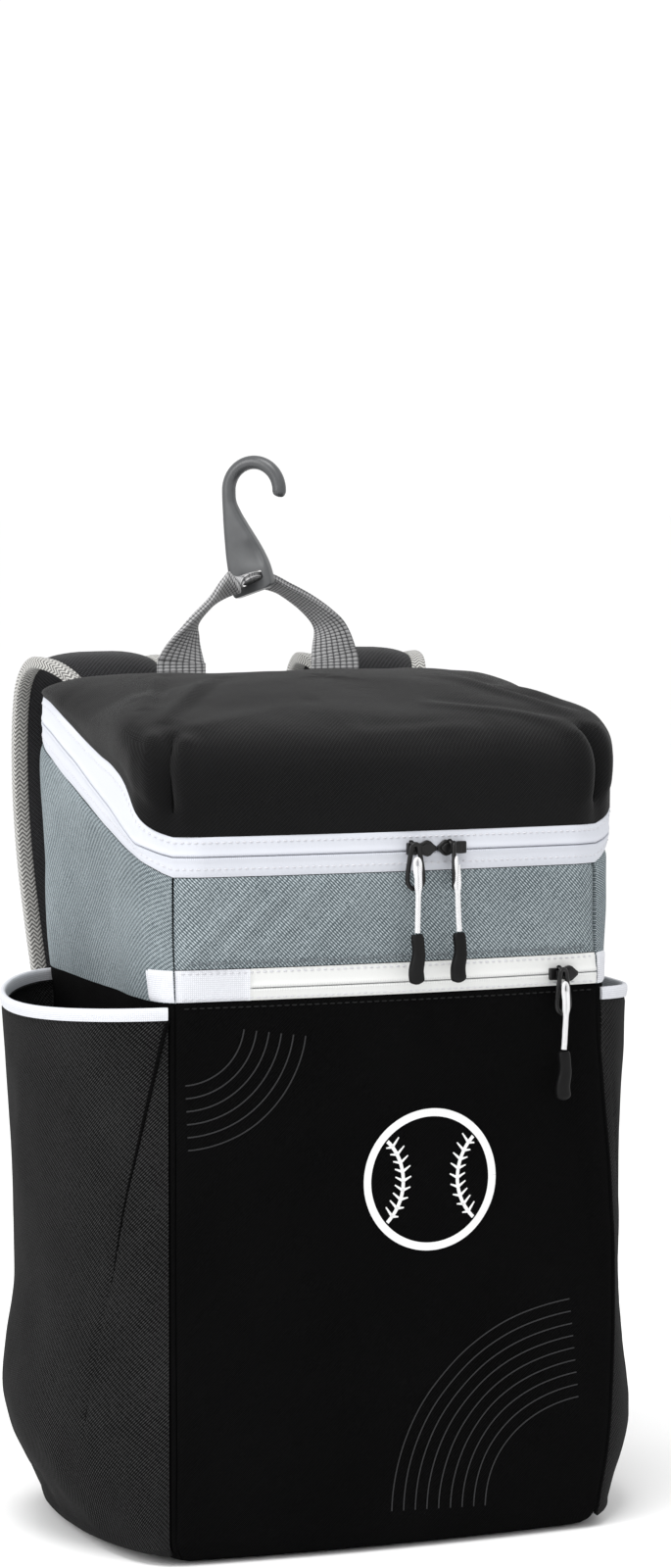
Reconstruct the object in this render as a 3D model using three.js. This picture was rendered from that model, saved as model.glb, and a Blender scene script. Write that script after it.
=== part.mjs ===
// A backpack for baseball gear: a box of cloth walls with a domed zipped lid, a zipped front pocket,
// an open pocket on each side, a webbing haul loop with a fence hook, and two padded shoulder straps.
// Millimetres. X is to the right seen from the front, Y to the back, Z up.
// The origin is the middle of the flat base, on the surface that the bag stands on.
import * as THREE from "three";
import { mergeVertices } from "three/addons/utils/BufferGeometryUtils.js";

// Driving dimensions of the body
const BODY_WIDTH = 248;
const BODY_DEPTH = 206;
const FRONT_SWELL = 6;
const BACK_SWELL = 7;
const SIDE_SWELL = 18;
const BASE_ROUND = 14;
const SEAM_GAP = 0.4;
const SEAM_PULL = 3;

// Heights of the seams, from the floor
const POCKET_SEAM_Z = 306.5;
const POCKET_ZIP_HEIGHT = 17.5;
const GREY_BAND_HEIGHT = 48;
const LID_ZIP_HEIGHT = 22;
const LID_RISE = 68;
const LID_TOP_Z = 476;

// Walls of cloth
const CLOTH = 2.4;
const PAD_CLOTH = 3;
const BACK_PAD = 9;
const BASE_CLOTH = 3;
const TAPE = 2.6;

// Side pockets
const BOTTLE_SWELL = 50;
const BAT_SWELL = 41;
const POCKET_RIM_Z = 304;
const RIM_DROP = 5;
const BINDING_HEIGHT = 11;
const BINDING = 3;
const POCKET_FLOOR_Z = 1;
const POCKET_BELLY_POWER = 0.62;
const POCKET_END_LIFT = 5;

// The lid's roundness: a higher power is boxier
const LID_CORNER_POWER = 9;
const LID_FRONT_POWER = 4;
const LID_SIDE_POWER = 2.5;
const LID_PUFF = 0.035;

// Haul loop of webbing and its fence hook
const LOOP_WEBBING = 30;
const LOOP_THICK = 2.2;
const LOOP_SPREAD = 47.5;
const LOOP_HEIGHT = 90;
const LOOP_FOOT_Z = 441;
const LOOP_STANDOFF = 0.5;
const HOOK_THICK = 7.6;
const HOOK_BEVEL = 1;
const HOOK_BOW_X = 3.5;
const HOOK_BOW_UP = 47.3;
const HOOK_OUTER_RADIUS = 20.2;
const HOOK_INNER_RADIUS = 12.2;
const HOOK_TIP_DROP = 1.5;
const HOOK_TURN = -45;
const HOOK_SLOT_LENGTH = 17.4;
const HOOK_SLOT_HEIGHT = 6.4;
const HOOK_SLOT_ROUND = 2;
const HOOK_SLOT_SLOPE = 21;
const HOOK_SLOT_DROP = 4.2;
const HOOK_SLOT_ASIDE = 2.2;

// Shoulder straps
const STRAP_WIDTH = 78;
const STRAP_BINDING = 9;
const STRAP_PAD = 12;
const STRAP_BINDING_THICK = 7;
const STRAP_INSET = 40;
const STRAP_REACH = 76;
const STRAP_TOP_Z = 478;
const STRAP_DROP = 272;
const STRAP_SWAY = -5;
const TAIL_WEBBING = 25;
const TAIL_THICK = 1.8;
const LOCK_WIDTH = 34;
const LOCK_HEIGHT = 24;
const LOCK_THICK = 4;
const LOCK_BAR = 4;
const TAB_SIZE = 34;
const TAB_THICK = 3;
const TAB_INSET = 24;
const TAB_Z = 40;

// Zip sliders and their pulls
const SLIDER_WIDTH = 17;
const SLIDER_HEIGHT = 11;
const SLIDER_THICK = 5;
const RING_WIDTH = 12;
const RING_LENGTH = 27;
const RING_WIRE = 2.6;
const CORD_WIDTH = 4.2;
const END_LENGTH = 27;
const END_WIDTH = 9;
const END_THICK = 6;
const PULL_STANDOFF = 0.5;
const RING_RISE = 1;
const CORD_TOP_DROP = 9;

// How finely the curved faces are cut
const FRONT_COLUMNS = 12;
const SIDE_COLUMNS = 14;
const BACK_COLUMNS = 10;
const BASE_COLUMNS = 10;
const LOOP_STEPS = 36;
const STRAP_STEPS = 18;
const TAIL_STEPS = 8;
const CORD_SIDES = 8;
const CORD_STEPS = 8;

// Half the stretch over which a wall's slope is measured, as a share of a panel
const PANEL_STRETCH = 0.012;
const POCKET_STRETCH = 0.004;

// Worked out from the above
const HALF_WIDTH = BODY_WIDTH / 2;
const HALF_DEPTH = BODY_DEPTH / 2;
const POCKET_ZIP_TOP = POCKET_SEAM_Z + POCKET_ZIP_HEIGHT;
const LID_ZIP_LOW = POCKET_ZIP_TOP + GREY_BAND_HEIGHT;
const LID_ZIP_TOP = LID_ZIP_LOW + LID_ZIP_HEIGHT;
const BACK_TOP = LID_ZIP_TOP + LID_RISE;
const STRAP_SPREAD = HALF_WIDTH - STRAP_INSET;
const TAB_X = HALF_WIDTH - TAB_INSET;

const COLOURS = {
  black: { color: 0x202124, roughness: 0.9, metalness: 0 },
  grey: { color: 0x8b959c, roughness: 0.9, metalness: 0 },
  white: { color: 0xe9ebef, roughness: 0.8, metalness: 0 },
  webbing: { color: 0x8d8f90, roughness: 0.85, metalness: 0 },
  trim: { color: 0xb9b9b5, roughness: 0.85, metalness: 0 },
  plastic: { color: 0x1c1d1f, roughness: 0.4, metalness: 0 },
  cord: { color: 0xeeeeec, roughness: 0.8, metalness: 0 },
};

// How far the side wall stands out beyond the front seam: a share of the swell, from front to back.
const SIDE_PLAN = [
  { depth: 0, out: 0 },
  { depth: 0.02, out: 0.36 },
  { depth: 0.06, out: 0.74 },
  { depth: 0.14, out: 0.94 },
  { depth: 0.3, out: 1 },
  { depth: 0.55, out: 1 },
  { depth: 0.8, out: 0.98 },
  { depth: 0.92, out: 0.84 },
  { depth: 0.98, out: 0.56 },
  { depth: 1, out: 0.36 },
];
// How much of the swell the side wall has at each height, as a share of the back's height.
const SIDE_FULLNESS = [
  { height: 0, out: 0.4 },
  { height: 0.3, out: 0.42 },
  { height: 0.62, out: 0.5 },
  { height: 0.72, out: 0.74 },
  { height: 0.82, out: 0.86 },
  { height: 0.88, out: 1 },
  { height: 1, out: 0.94 },
];
// The lid's zip tape climbs along each side: shares of the lid's rise, from front to back.
const ZIP_CLIMB = [
  { depth: 0, low: 0.02, top: 0.02 },
  { depth: 0.04, low: 0.09, top: 0.09 },
  { depth: 0.1, low: 0.15, top: 0.22 },
  { depth: 0.165, low: 0.21, top: 0.42 },
  { depth: 0.25, low: 0.29, top: 0.53 },
  { depth: 0.36, low: 0.39, top: 0.6 },
  { depth: 0.5, low: 0.53, top: 0.7 },
  { depth: 0.68, low: 0.69, top: 0.85 },
  { depth: 0.85, low: 0.84, top: 0.97 },
  { depth: 1, low: 0.95, top: 1 },
];
// The lid's crown from front to back: how far it lies below its top, as a share of the lid's rise.
const LID_CROWN = [
  { depth: 0, sink: 0.34 },
  { depth: 0.1, sink: 0.26 },
  { depth: 0.25, sink: 0.18 },
  { depth: 0.5, sink: 0.02 },
  { depth: 0.75, sink: 0 },
  { depth: 1, sink: 0.05 },
];
// The side pockets' sections from foot to rim: shares of the height, and of each one's swell.
const POCKET_SECTION = [
  { height: 0, bottle: 0.02, bat: 0.02 },
  { height: 0.004, bottle: 0.26, bat: 0.24 },
  { height: 0.03, bottle: 0.42, bat: 0.4 },
  { height: 0.07, bottle: 0.56, bat: 0.62 },
  { height: 0.12, bottle: 0.73, bat: 0.88 },
  { height: 0.17, bottle: 0.88, bat: 1 },
  { height: 0.25, bottle: 1, bat: 0.9 },
  { height: 0.34, bottle: 0.93, bat: 0.75 },
  { height: 0.48, bottle: 0.84, bat: 0.62 },
  { height: 0.72, bottle: 0.89, bat: 0.71 },
  { height: 1, bottle: 0.94, bat: 0.78 },
];
// The haul loop, from its left foot over the top to its right foot: along is a share of the spread,
// back is a distance behind the body in webbing widths, up is a share of the loop's height, heading
// is where the webbing's width points (degrees from X), tilt how far that width rises, and narrow
// and fold the shares of the flat webbing's width and thickness.
const LOOP_SECTIONS = [
  { along: -1.02, back: 0, up: 0, heading: 0, tilt: 0, narrow: 1, fold: 1 },
  { along: -1.02, back: 0, up: 0.36, heading: 0, tilt: 0, narrow: 1, fold: 1 },
  { along: -1.01, back: -0.02, up: 0.45, heading: 4, tilt: 0, narrow: 0.92, fold: 1.2 },
  { along: -0.95, back: -0.05, up: 0.58, heading: 26, tilt: 0, narrow: 0.66, fold: 1.6 },
  { along: -0.88, back: -0.1, up: 0.68, heading: 52, tilt: 0, narrow: 0.5, fold: 2 },
  { along: -0.7, back: -0.16, up: 0.79, heading: 60, tilt: 0, narrow: 0.48, fold: 2 },
  { along: -0.49, back: -0.24, up: 0.895, heading: 14, tilt: 8, narrow: 0.48, fold: 2 },
  { along: -0.34, back: -0.3, up: 0.945, heading: -30, tilt: 16, narrow: 0.48, fold: 2 },
  { along: -0.19, back: -0.17, up: 0.955, heading: -45, tilt: 21, narrow: 0.48, fold: 2 },
  { along: -0.04, back: -0.02, up: 0.95, heading: -45, tilt: 21, narrow: 0.48, fold: 2 },
  { along: 0.14, back: 0.06, up: 0.93, heading: -52, tilt: 14, narrow: 0.48, fold: 2 },
  { along: 0.36, back: 0.06, up: 0.88, heading: -52, tilt: 0, narrow: 0.48, fold: 2 },
  { along: 0.63, back: 0.03, up: 0.79, heading: -45, tilt: 0, narrow: 0.48, fold: 2 },
  { along: 0.84, back: 0, up: 0.69, heading: -34, tilt: 0, narrow: 0.54, fold: 1.8 },
  { along: 0.94, back: 0, up: 0.6, heading: -18, tilt: 0, narrow: 0.7, fold: 1.5 },
  { along: 0.98, back: 0, up: 0.48, heading: -5, tilt: 0, narrow: 0.9, fold: 1.1 },
  { along: 1, back: 0, up: 0.36, heading: 0, tilt: 0, narrow: 1, fold: 1 },
  { along: 1, back: 0, up: 0, heading: 0, tilt: 0, narrow: 1, fold: 1 },
];
// A shoulder strap from its top seam over the arch and down behind the back: shares of the spread,
// of the reach behind the body and of the drop below the top, with its width as a share.
const STRAP_SECTIONS = [
  { across: 0.91, reach: 0.13, drop: 0.13, wide: 0.8, sway: 0 },
  { across: 0.91, reach: 0.135, drop: 0.08, wide: 0.82, sway: 0 },
  { across: 0.93, reach: 0.215, drop: 0.035, wide: 0.88, sway: 0.3 },
  { across: 0.96, reach: 0.36, drop: 0.008, wide: 0.95, sway: 0.7 },
  { across: 0.98, reach: 0.55, drop: 0, wide: 1, sway: 1 },
  { across: 1, reach: 0.76, drop: 0.02, wide: 1, sway: 1 },
  { across: 1.01, reach: 0.91, drop: 0.07, wide: 1, sway: 1 },
  { across: 1.01, reach: 0.98, drop: 0.15, wide: 1, sway: 1 },
  { across: 1.01, reach: 1, drop: 0.26, wide: 0.99, sway: 1 },
  { across: 1.01, reach: 0.97, drop: 0.4, wide: 0.97, sway: 0.9 },
  { across: 1, reach: 0.89, drop: 0.56, wide: 0.94, sway: 0.7 },
  { across: 0.99, reach: 0.79, drop: 0.72, wide: 0.9, sway: 0.4 },
  { across: 0.98, reach: 0.68, drop: 0.88, wide: 0.82, sway: 0.2 },
  { across: 0.98, reach: 0.61, drop: 1, wide: 0.6, sway: 0 },
];
// The three pulls: x of the slider and of its ring, its seam's height, which way the slider points, and
// how far the cord's end swings aside and hangs below its top.
const PULLS = [
  { name: "lid_left", x: 14.6, ring: 8.9, seam: LID_ZIP_LOW + 13.8, points: 1, swing: -0.5, hang: 36 },
  { name: "lid_right", x: 32.4, ring: 31.6, seam: LID_ZIP_LOW + 13.8, points: -1, swing: 1.4, hang: 36 },
  { name: "pocket", x: 100.7, ring: 98.2, seam: POCKET_SEAM_Z + 7, points: 1, swing: -1.4, hang: 32 },
];
const POCKET_ROWS = POCKET_SECTION.map((row, i) => ({ row: i / (POCKET_SECTION.length - 1), ...row }));
// How much of its swell the back has at each height, as a share of its height.
const BACK_FILL = [
  { height: 0, out: 0 },
  { height: 0.15, out: 1 },
  { height: 0.75, out: 1 },
  { height: 0.88, out: 0 },
];
// The corners and bends of the fence hook's paddle, from the bow's inner side round the foot and up to
// the bow's outer side, as shares of the bow's height above the slot.
const HOOK_PADDLE = {
  innerHigh: { x: -0.184, up: 0.761 },
  innerLow: { x: -0.042, up: 0.613 },
  waist: { x: 0.085, up: 0.423 },
  swellHigh: { x: 0.211, up: 0.233 },
  swellLow: { x: 0.304, up: 0.063 },
  rightEnd: { x: 0.33, up: -0.127 },
  rightCorner: { x: 0.334, up: -0.169 },
  footRight: { x: 0.288, up: -0.186 },
  footLeft: { x: -0.131, up: -0.334 },
  leftCorner: { x: -0.182, up: -0.347 },
  leftEnd: { x: -0.203, up: -0.288 },
  outerLow: { x: -0.283, up: -0.042 },
  outerHigh: { x: -0.3, up: 0.381 },
};
// A zip slider from its tail to its nose: shares of its half length and of its half height.
const SLIDER_OUTLINE = [
  { along: -1, half: 0.8 },
  { along: -0.45, half: 0.84 },
  { along: 0, half: 0.66 },
  { along: 0.3, half: 0.5 },
  { along: 0.7, half: 0.74 },
  { along: 1, half: 0.5 },
];
// A pull cord's route below its ring, chosen by hand: share of its swing, distance forward, share of
// its hang.
const CORD_ROUTE = [
  [0, 0, 0],
  [0.02, 0.5, 0.075],
  [0.06, 0.9, 0.15],
  [0.1, 1.1, 0.225],
  [0.15, 1.2, 0.3],
  [0.21, 1.2, 0.375],
  [0.28, 1.2, 0.45],
  [0.35, 1.1, 0.525],
  [0.43, 1.1, 0.6],
  [0.52, 1, 0.675],
  [0.61, 1, 0.75],
  [0.7, 1, 0.825],
  [0.8, 1, 0.9],
  [0.9, 1, 0.95],
  [1, 1, 1],
];

// Value of one column of a table at a place along another, on straight lines between rows.
function along(table, key, column, at) {
  const last = table.length - 1;
  if (at <= table[0][key]) return table[0][column];
  if (at >= table[last][key]) return table[last][column];
  const next = table.findIndex((row) => row[key] >= at);
  const from = table[next - 1];
  const to = table[next];
  const part = (at - from[key]) / (to[key] - from[key]);
  return from[column] + part * (to[column] - from[column]);
}

// A smooth curve through one column of a table, read at a share of its rows.
function smoothColumn(table, column, share) {
  const place = share * (table.length - 1);
  const row = Math.min(Math.floor(place), table.length - 2);
  const f = place - row;
  const value = (i) => table[Math.max(0, Math.min(table.length - 1, i))][column];
  const [a, b, c, d] = [value(row - 1), value(row), value(row + 1), value(row + 2)];
  return b + 0.5 * f * (c - a + f * (2 * a - 5 * b + 4 * c - d + f * (3 * (b - c) + d - a)));
}

function steps(from, to, count) {
  return Array.from({ length: count + 1 }, (_, i) => from + ((to - from) * i) / count);
}

// One side of the body in plan, from 0 at the front seam to 1 at the back seam.
function sideOut(depth, z) {
  const fullness = along(SIDE_FULLNESS, "height", "out", z / BACK_TOP);
  return SIDE_SWELL * fullness * along(SIDE_PLAN, "depth", "out", depth);
}

// How far the rounded foot of a wall lies in from its face at a height.
function tuckedUnder(z) {
  const lift = Math.min(z, BASE_ROUND);
  return BASE_ROUND - Math.sqrt(BASE_ROUND ** 2 - (BASE_ROUND - lift) ** 2);
}

// The body's outer surface. The turn runs from 0 to 4: front from left to right, right side,
// back from right to left, left side from back to front.
function bodyPoint(turn, z) {
  const stretch = Math.floor(((turn % 4) + 4) % 4);
  const share = (((turn % 4) + 4) % 4) - stretch;
  const under = tuckedUnder(z);
  const hump = 1 - (2 * share - 1) ** 2;
  if (stretch === 0) {
    const x = (2 * share - 1) * (HALF_WIDTH - under);
    return new THREE.Vector3(x, -HALF_DEPTH - FRONT_SWELL * hump + under, z);
  }
  if (stretch === 2) {
    const x = (1 - 2 * share) * (HALF_WIDTH + sideOut(1, z) - under);
    const fill = along(BACK_FILL, "height", "out", z / BACK_TOP);
    return new THREE.Vector3(x, HALF_DEPTH + BACK_SWELL * hump ** 2 * fill - under, z);
  }
  const depth = stretch === 1 ? share : 1 - share;
  const x = HALF_WIDTH + sideOut(depth, z) - under;
  const y = (2 * depth - 1) * (HALF_DEPTH - under);
  return new THREE.Vector3(stretch === 1 ? x : -x, y, z);
}

// A side pocket's outer surface, over the body's side: depth from front to back, height from foot to rim.
function pocketPoint(pocket, depth, height) {
  const rim = POCKET_RIM_Z - RIM_DROP * Math.sin(Math.PI * depth);
  const belly = Math.sin(Math.PI * Math.min(1, Math.max(0, depth))) ** POCKET_BELLY_POWER;
  const foot = POCKET_FLOOR_Z + POCKET_END_LIFT * (1 - belly);
  const z = foot + along(POCKET_ROWS, "row", "height", height) * (rim - foot);
  const out = along(POCKET_ROWS, "row", pocket.name, height);
  const wall = HALF_WIDTH + sideOut(depth, Math.max(z, BASE_ROUND)) - tuckedUnder(z) / 2;
  const stand = CLOTH + 2 * SEAM_GAP;
  const x = wall + stand + pocket.swell * out * belly;
  const y = (2 * depth - 1) * (HALF_DEPTH - SEAM_PULL);
  return new THREE.Vector3(pocket.side * x, y, z);
}

// The lid's outer surface: turn round the outline, and rise from 0 at the zip tape to 1 at the crown.
function lidPoint(turn, rise) {
  const depth = depthOf(turn);
  const edge = bodyPoint(turn, zipTop(turn));
  const sideways = Math.floor(((turn % 4) + 4) % 4) % 2 === 1;
  const atBack = Math.floor(((turn % 4) + 4) % 4) === 2;
  const soften = sideways ? THREE.MathUtils.smoothstep(depth, 0.05, 0.5) : Number(atBack);
  const boxy = LID_FRONT_POWER + (LID_SIDE_POWER - LID_FRONT_POWER) * soften;
  const boxyAcross = LID_CORNER_POWER + (LID_SIDE_POWER - LID_CORNER_POWER) * soften;
  const angle = (rise * Math.PI) / 2;
  const puff = 1 + LID_PUFF * Math.sin(2 * angle);
  const climb = Math.sin(angle) ** (2 / boxy);
  const x = edge.x * puff * Math.cos(angle) ** (2 / boxyAcross);
  const y = edge.y * puff * Math.cos(angle) ** (2 / boxy);
  const crown = LID_TOP_Z - LID_RISE * along(LID_CROWN, "depth", "sink", (y + HALF_DEPTH) / BODY_DEPTH);
  return new THREE.Vector3(x, y, edge.z + (crown - edge.z) * climb);
}

function depthOf(turn) {
  const t = ((turn % 4) + 4) % 4;
  if (t < 1) return 0;
  if (t < 2) return t - 1;
  return t < 3 ? 1 : 4 - t;
}

function zipTop(turn) {
  return LID_ZIP_TOP + LID_RISE * along(ZIP_CLIMB, "depth", "top", depthOf(turn));
}

function zipLow(turn) {
  return LID_ZIP_LOW + LID_RISE * along(ZIP_CLIMB, "depth", "low", depthOf(turn));
}

// Triangles of a closed body between an outer grid of points and the same grid moved inwards.
function closedShell(outer, inner, ring = false) {
  const rows = outer.length;
  const cols = outer[0].length;
  const points = [...outer.flat(), ...inner.flat()];
  const at = (layer, v, u) => layer * rows * cols + v * cols + (u % cols);
  const faces = [];
  const quad = (a, b, c, d) => faces.push([a, b, c], [a, c, d]);
  const last = ring ? cols : cols - 1;
  for (let v = 0; v < rows - 1; v++) {
    for (let u = 0; u < last; u++) {
      quad(at(0, v, u), at(0, v, u + 1), at(0, v + 1, u + 1), at(0, v + 1, u));
      quad(at(1, v, u), at(1, v + 1, u), at(1, v + 1, u + 1), at(1, v, u + 1));
    }
  }
  for (let u = 0; u < last; u++) {
    quad(at(0, 0, u), at(1, 0, u), at(1, 0, u + 1), at(0, 0, u + 1));
    quad(at(0, rows - 1, u), at(0, rows - 1, u + 1), at(1, rows - 1, u + 1), at(1, rows - 1, u));
  }
  if (!ring) {
    for (let v = 0; v < rows - 1; v++) {
      quad(at(0, v, 0), at(0, v + 1, 0), at(1, v + 1, 0), at(1, v, 0));
      quad(at(0, v, last), at(1, v, last), at(1, v + 1, last), at(0, v + 1, last));
    }
  }
  return solidGeometry(points, faces);
}

// A geometry whose faces point out, from points and triangles, with coincident points joined.
function solidGeometry(points, faces) {
  let volume = 0;
  for (const [a, b, c] of faces) {
    volume += points[a].dot(new THREE.Vector3().crossVectors(points[b], points[c]));
  }
  const order = volume < 0 ? faces.map(([a, b, c]) => [a, c, b]) : faces;
  const geometry = new THREE.BufferGeometry().setFromPoints(points);
  geometry.setIndex(order.flat());
  const joined = mergeVertices(geometry, 1e-4);
  const index = Array.from(joined.index.array);
  const kept = [];
  for (let i = 0; i < index.length; i += 3) {
    const [a, b, c] = index.slice(i, i + 3);
    if (a !== b && b !== c && c !== a) kept.push(a, b, c);
  }
  joined.setIndex(kept);
  joined.computeVertexNormals();
  return joined;
}

// A wall of cloth under a surface given by two shares. Its inner face lies one thickness inside, along
// a normal taken over a short stretch on both sides, so that two panels meet at a seam on a mitre.
function wall(surface, us, vs, thickness) {
  const outer = vs.map((v) => us.map((u) => surface(u, v)));
  const inner = vs.map((v) => us.map((u) => inwards(surface, u, v, thickness, PANEL_STRETCH)));
  return closedShell(outer, inner);
}

function inwards(surface, u, v, thickness, stretch) {
  const seam = Math.round(u);
  const middle = Math.abs(u - seam) < stretch / 2 ? seam : u;
  const alongU = surface(middle + stretch, v).sub(surface(middle - stretch, v));
  const alongV = surface(u, v + stretch).sub(surface(u, v - stretch));
  return surface(u, v).addScaledVector(alongU.cross(alongV).normalize(), -thickness);
}

// A band of the body's wall between two heights, each a number or a rule by turn.
function bodyWall(fromTurn, toTurn, low, top, thickness, columns, rows) {
  const level = (rule, turn) => (typeof rule === "number" ? rule : rule(turn));
  const seam = SEAM_GAP / 2;
  const surface = (turn, share) => {
    const bottom = level(low, turn) + seam;
    const height = level(top, turn) - seam - bottom;
    return bodyPoint(turn, Math.max(0, bottom + share * height));
  };
  const edge = SEAM_GAP / BODY_DEPTH;
  const across = steps(fromTurn + edge, toTurn - edge, columns);
  return wall(surface, across, curledSteps(level(low, 0) === 0, rows), thickness);
}

// Shares of a wall's height: even, with some close together at the foot of a wall that curls under.
function curledSteps(curled, rows) {
  const even = steps(0, 1, rows);
  return curled ? [0, 0.006, 0.02, 0.05, ...even.slice(1)] : even;
}

// A strap of rectangular or rounded section along a path. Each section has a place, the way its width
// points, a width and a thickness, and where it is level the width isn't turned square to the path;
// corner is how much of the thickness is rounded off at each edge.
function strap(sections, corner = 0.3) {
  const outline = [
    [-0.5, -0.5 + corner],
    [-0.5, 0.5 - corner],
    [-0.5, 0.5],
    [0.5, 0.5],
    [0.5, 0.5 - corner],
    [0.5, -0.5 + corner],
    [0.5, -0.5],
    [-0.5, -0.5],
  ];
  const inset = (i) => (i === 2 || i === 3 || i === 6 || i === 7 ? 1 : 0);
  const rings = sections.map((section, i) => {
    const before = sections[Math.max(0, i - 1)].place;
    const after = sections[Math.min(sections.length - 1, i + 1)].place;
    const forward = after.clone().sub(before).normalize();
    const lean = section.level ? 0 : -section.across.dot(forward);
    const across = section.across.clone().addScaledVector(forward, lean).normalize();
    const up = new THREE.Vector3().crossVectors(forward, across).normalize();
    return outline.map(([a, b], k) => {
      const w = a * section.width - Math.sign(a) * inset(k) * corner * section.thick;
      return section.place.clone().addScaledVector(across, w).addScaledVector(up, b * section.thick);
    });
  });
  return cappedTube(rings);
}

// A round cord through a list of points.
function tube(route, diameter) {
  const section = new THREE.Shape();
  section.absarc(0, 0, diameter / 2, 0, 2 * Math.PI, false);
  const outline = new THREE.Shape(section.getPoints(CORD_SIDES / 2).slice(0, -1));
  const path = new THREE.CatmullRomCurve3(route);
  return new THREE.ExtrudeGeometry(outline, { steps: CORD_STEPS, bevelEnabled: false, extrudePath: path });
}

// A solid through rings of points, closed by a fan at both ends.
function cappedTube(rings) {
  const count = rings[0].length;
  const points = rings.flat();
  const faces = [];
  for (let r = 0; r < rings.length - 1; r++) {
    for (let k = 0; k < count; k++) {
      const a = r * count + k;
      const b = r * count + ((k + 1) % count);
      faces.push([a, b, b + count], [a, b + count, a + count]);
    }
  }
  const end = (rings.length - 1) * count;
  for (let k = 1; k < count - 1; k++) {
    faces.push([0, k + 1, k], [end, end + k, end + k + 1]);
  }
  return solidGeometry(points, faces);
}

// A rounded rectangle about the origin.
function roundedRectangle(shape, width, height, radius) {
  const w = width / 2 - radius;
  const h = height / 2 - radius;
  const quarter = Math.PI / 2;
  shape.moveTo(width / 2, -h);
  shape.absarc(w, h, radius, 0, quarter);
  shape.absarc(-w, h, radius, quarter, 2 * quarter);
  shape.absarc(-w, -h, radius, 2 * quarter, 3 * quarter);
  shape.absarc(w, -h, radius, 3 * quarter, 4 * quarter);
  return shape;
}

// The points of a closed outline without those that lie on the one before.
function distinct(points) {
  const apart = (a, b) => a.distanceTo(b) > 0.01;
  return points.filter((p, i) => apart(p, points[(i + points.length - 1) % points.length]));
}

// A plate cut from an outline, with bevelled edges, centred on its own plane.
function plate(shape, thickness, bevel, curveSegments = 6) {
  const clean = new THREE.Shape(distinct(shape.getPoints(curveSegments)));
  clean.holes = shape.holes.map((hole) => new THREE.Path(distinct(hole.getPoints(curveSegments))));
  const geometry = new THREE.ExtrudeGeometry(clean, {
    depth: thickness - 2 * bevel,
    bevelEnabled: bevel > 0,
    bevelThickness: bevel,
    bevelSize: bevel,
    bevelOffset: -bevel,
    bevelSegments: 1,
  });
  geometry.translate(0, 0, -(thickness - 2 * bevel) / 2);
  return geometry;
}

const backpack = new THREE.Group();
backpack.name = "baseball_backpack";

function add(name, geometry, look) {
  const mesh = new THREE.Mesh(geometry, new THREE.MeshStandardMaterial(COLOURS[look]));
  mesh.name = name;
  backpack.add(mesh);
  return mesh;
}

function addFront() {
  add("front_panel", bodyWall(0, 1, 0, POCKET_SEAM_Z, PAD_CLOTH, FRONT_COLUMNS, 6), "black");
  add("front_zip_tape", bodyWall(0, 1, POCKET_SEAM_Z, POCKET_ZIP_TOP, TAPE, FRONT_COLUMNS, 1), "white");
  add("front_grey_panel", bodyWall(0, 1, POCKET_ZIP_TOP, zipLow, PAD_CLOTH, FRONT_COLUMNS, 2), "grey");
}

function addSides() {
  add("side_panel_right", bodyWall(1, 2, 0, zipLow, PAD_CLOTH, SIDE_COLUMNS, 7), "grey");
  add("side_panel_left", bodyWall(3, 4, 0, zipLow, PAD_CLOTH, SIDE_COLUMNS, 7), "grey");
}

function addBack() {
  add("back_panel", bodyWall(2, 3, 0, BACK_TOP, BACK_PAD, BACK_COLUMNS, 8), "black");
}

// The base is the body's outline at the floor. The walls that curl under it end just above.
function addBase() {
  const turns = steps(0, 4, 4 * BASE_COLUMNS).slice(0, -1);
  const shape = new THREE.Shape(turns.map((turn) => {
    const p = bodyPoint(turn, 0);
    return new THREE.Vector2(p.x, p.y);
  }));
  const geometry = new THREE.ExtrudeGeometry(shape, { depth: BASE_CLOTH, bevelEnabled: false });
  add("base_panel", geometry, "black");
}

// The lid's zip tape lies between two climbing edges: turn round the body, share up the tape.
function tapePoint(turn, share) {
  const seam = SEAM_GAP / 2;
  const bottom = zipLow(turn) + seam;
  return bodyPoint(turn, bottom + share * (zipTop(turn) - seam - bottom));
}

// The tape runs from the left back corner round the front to the right back corner.
function addLidZip() {
  const turns = [
    ...steps(-1, 0, SIDE_COLUMNS).slice(0, -1),
    ...steps(0, 1, FRONT_COLUMNS),
    ...steps(1, 2, SIDE_COLUMNS).slice(1),
  ];
  const edge = SEAM_GAP / BODY_DEPTH;
  turns[0] += edge;
  turns[turns.length - 1] -= edge;
  add("lid_zip_tape", wall(tapePoint, turns, [0, 1], TAPE), "white");
}

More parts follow.
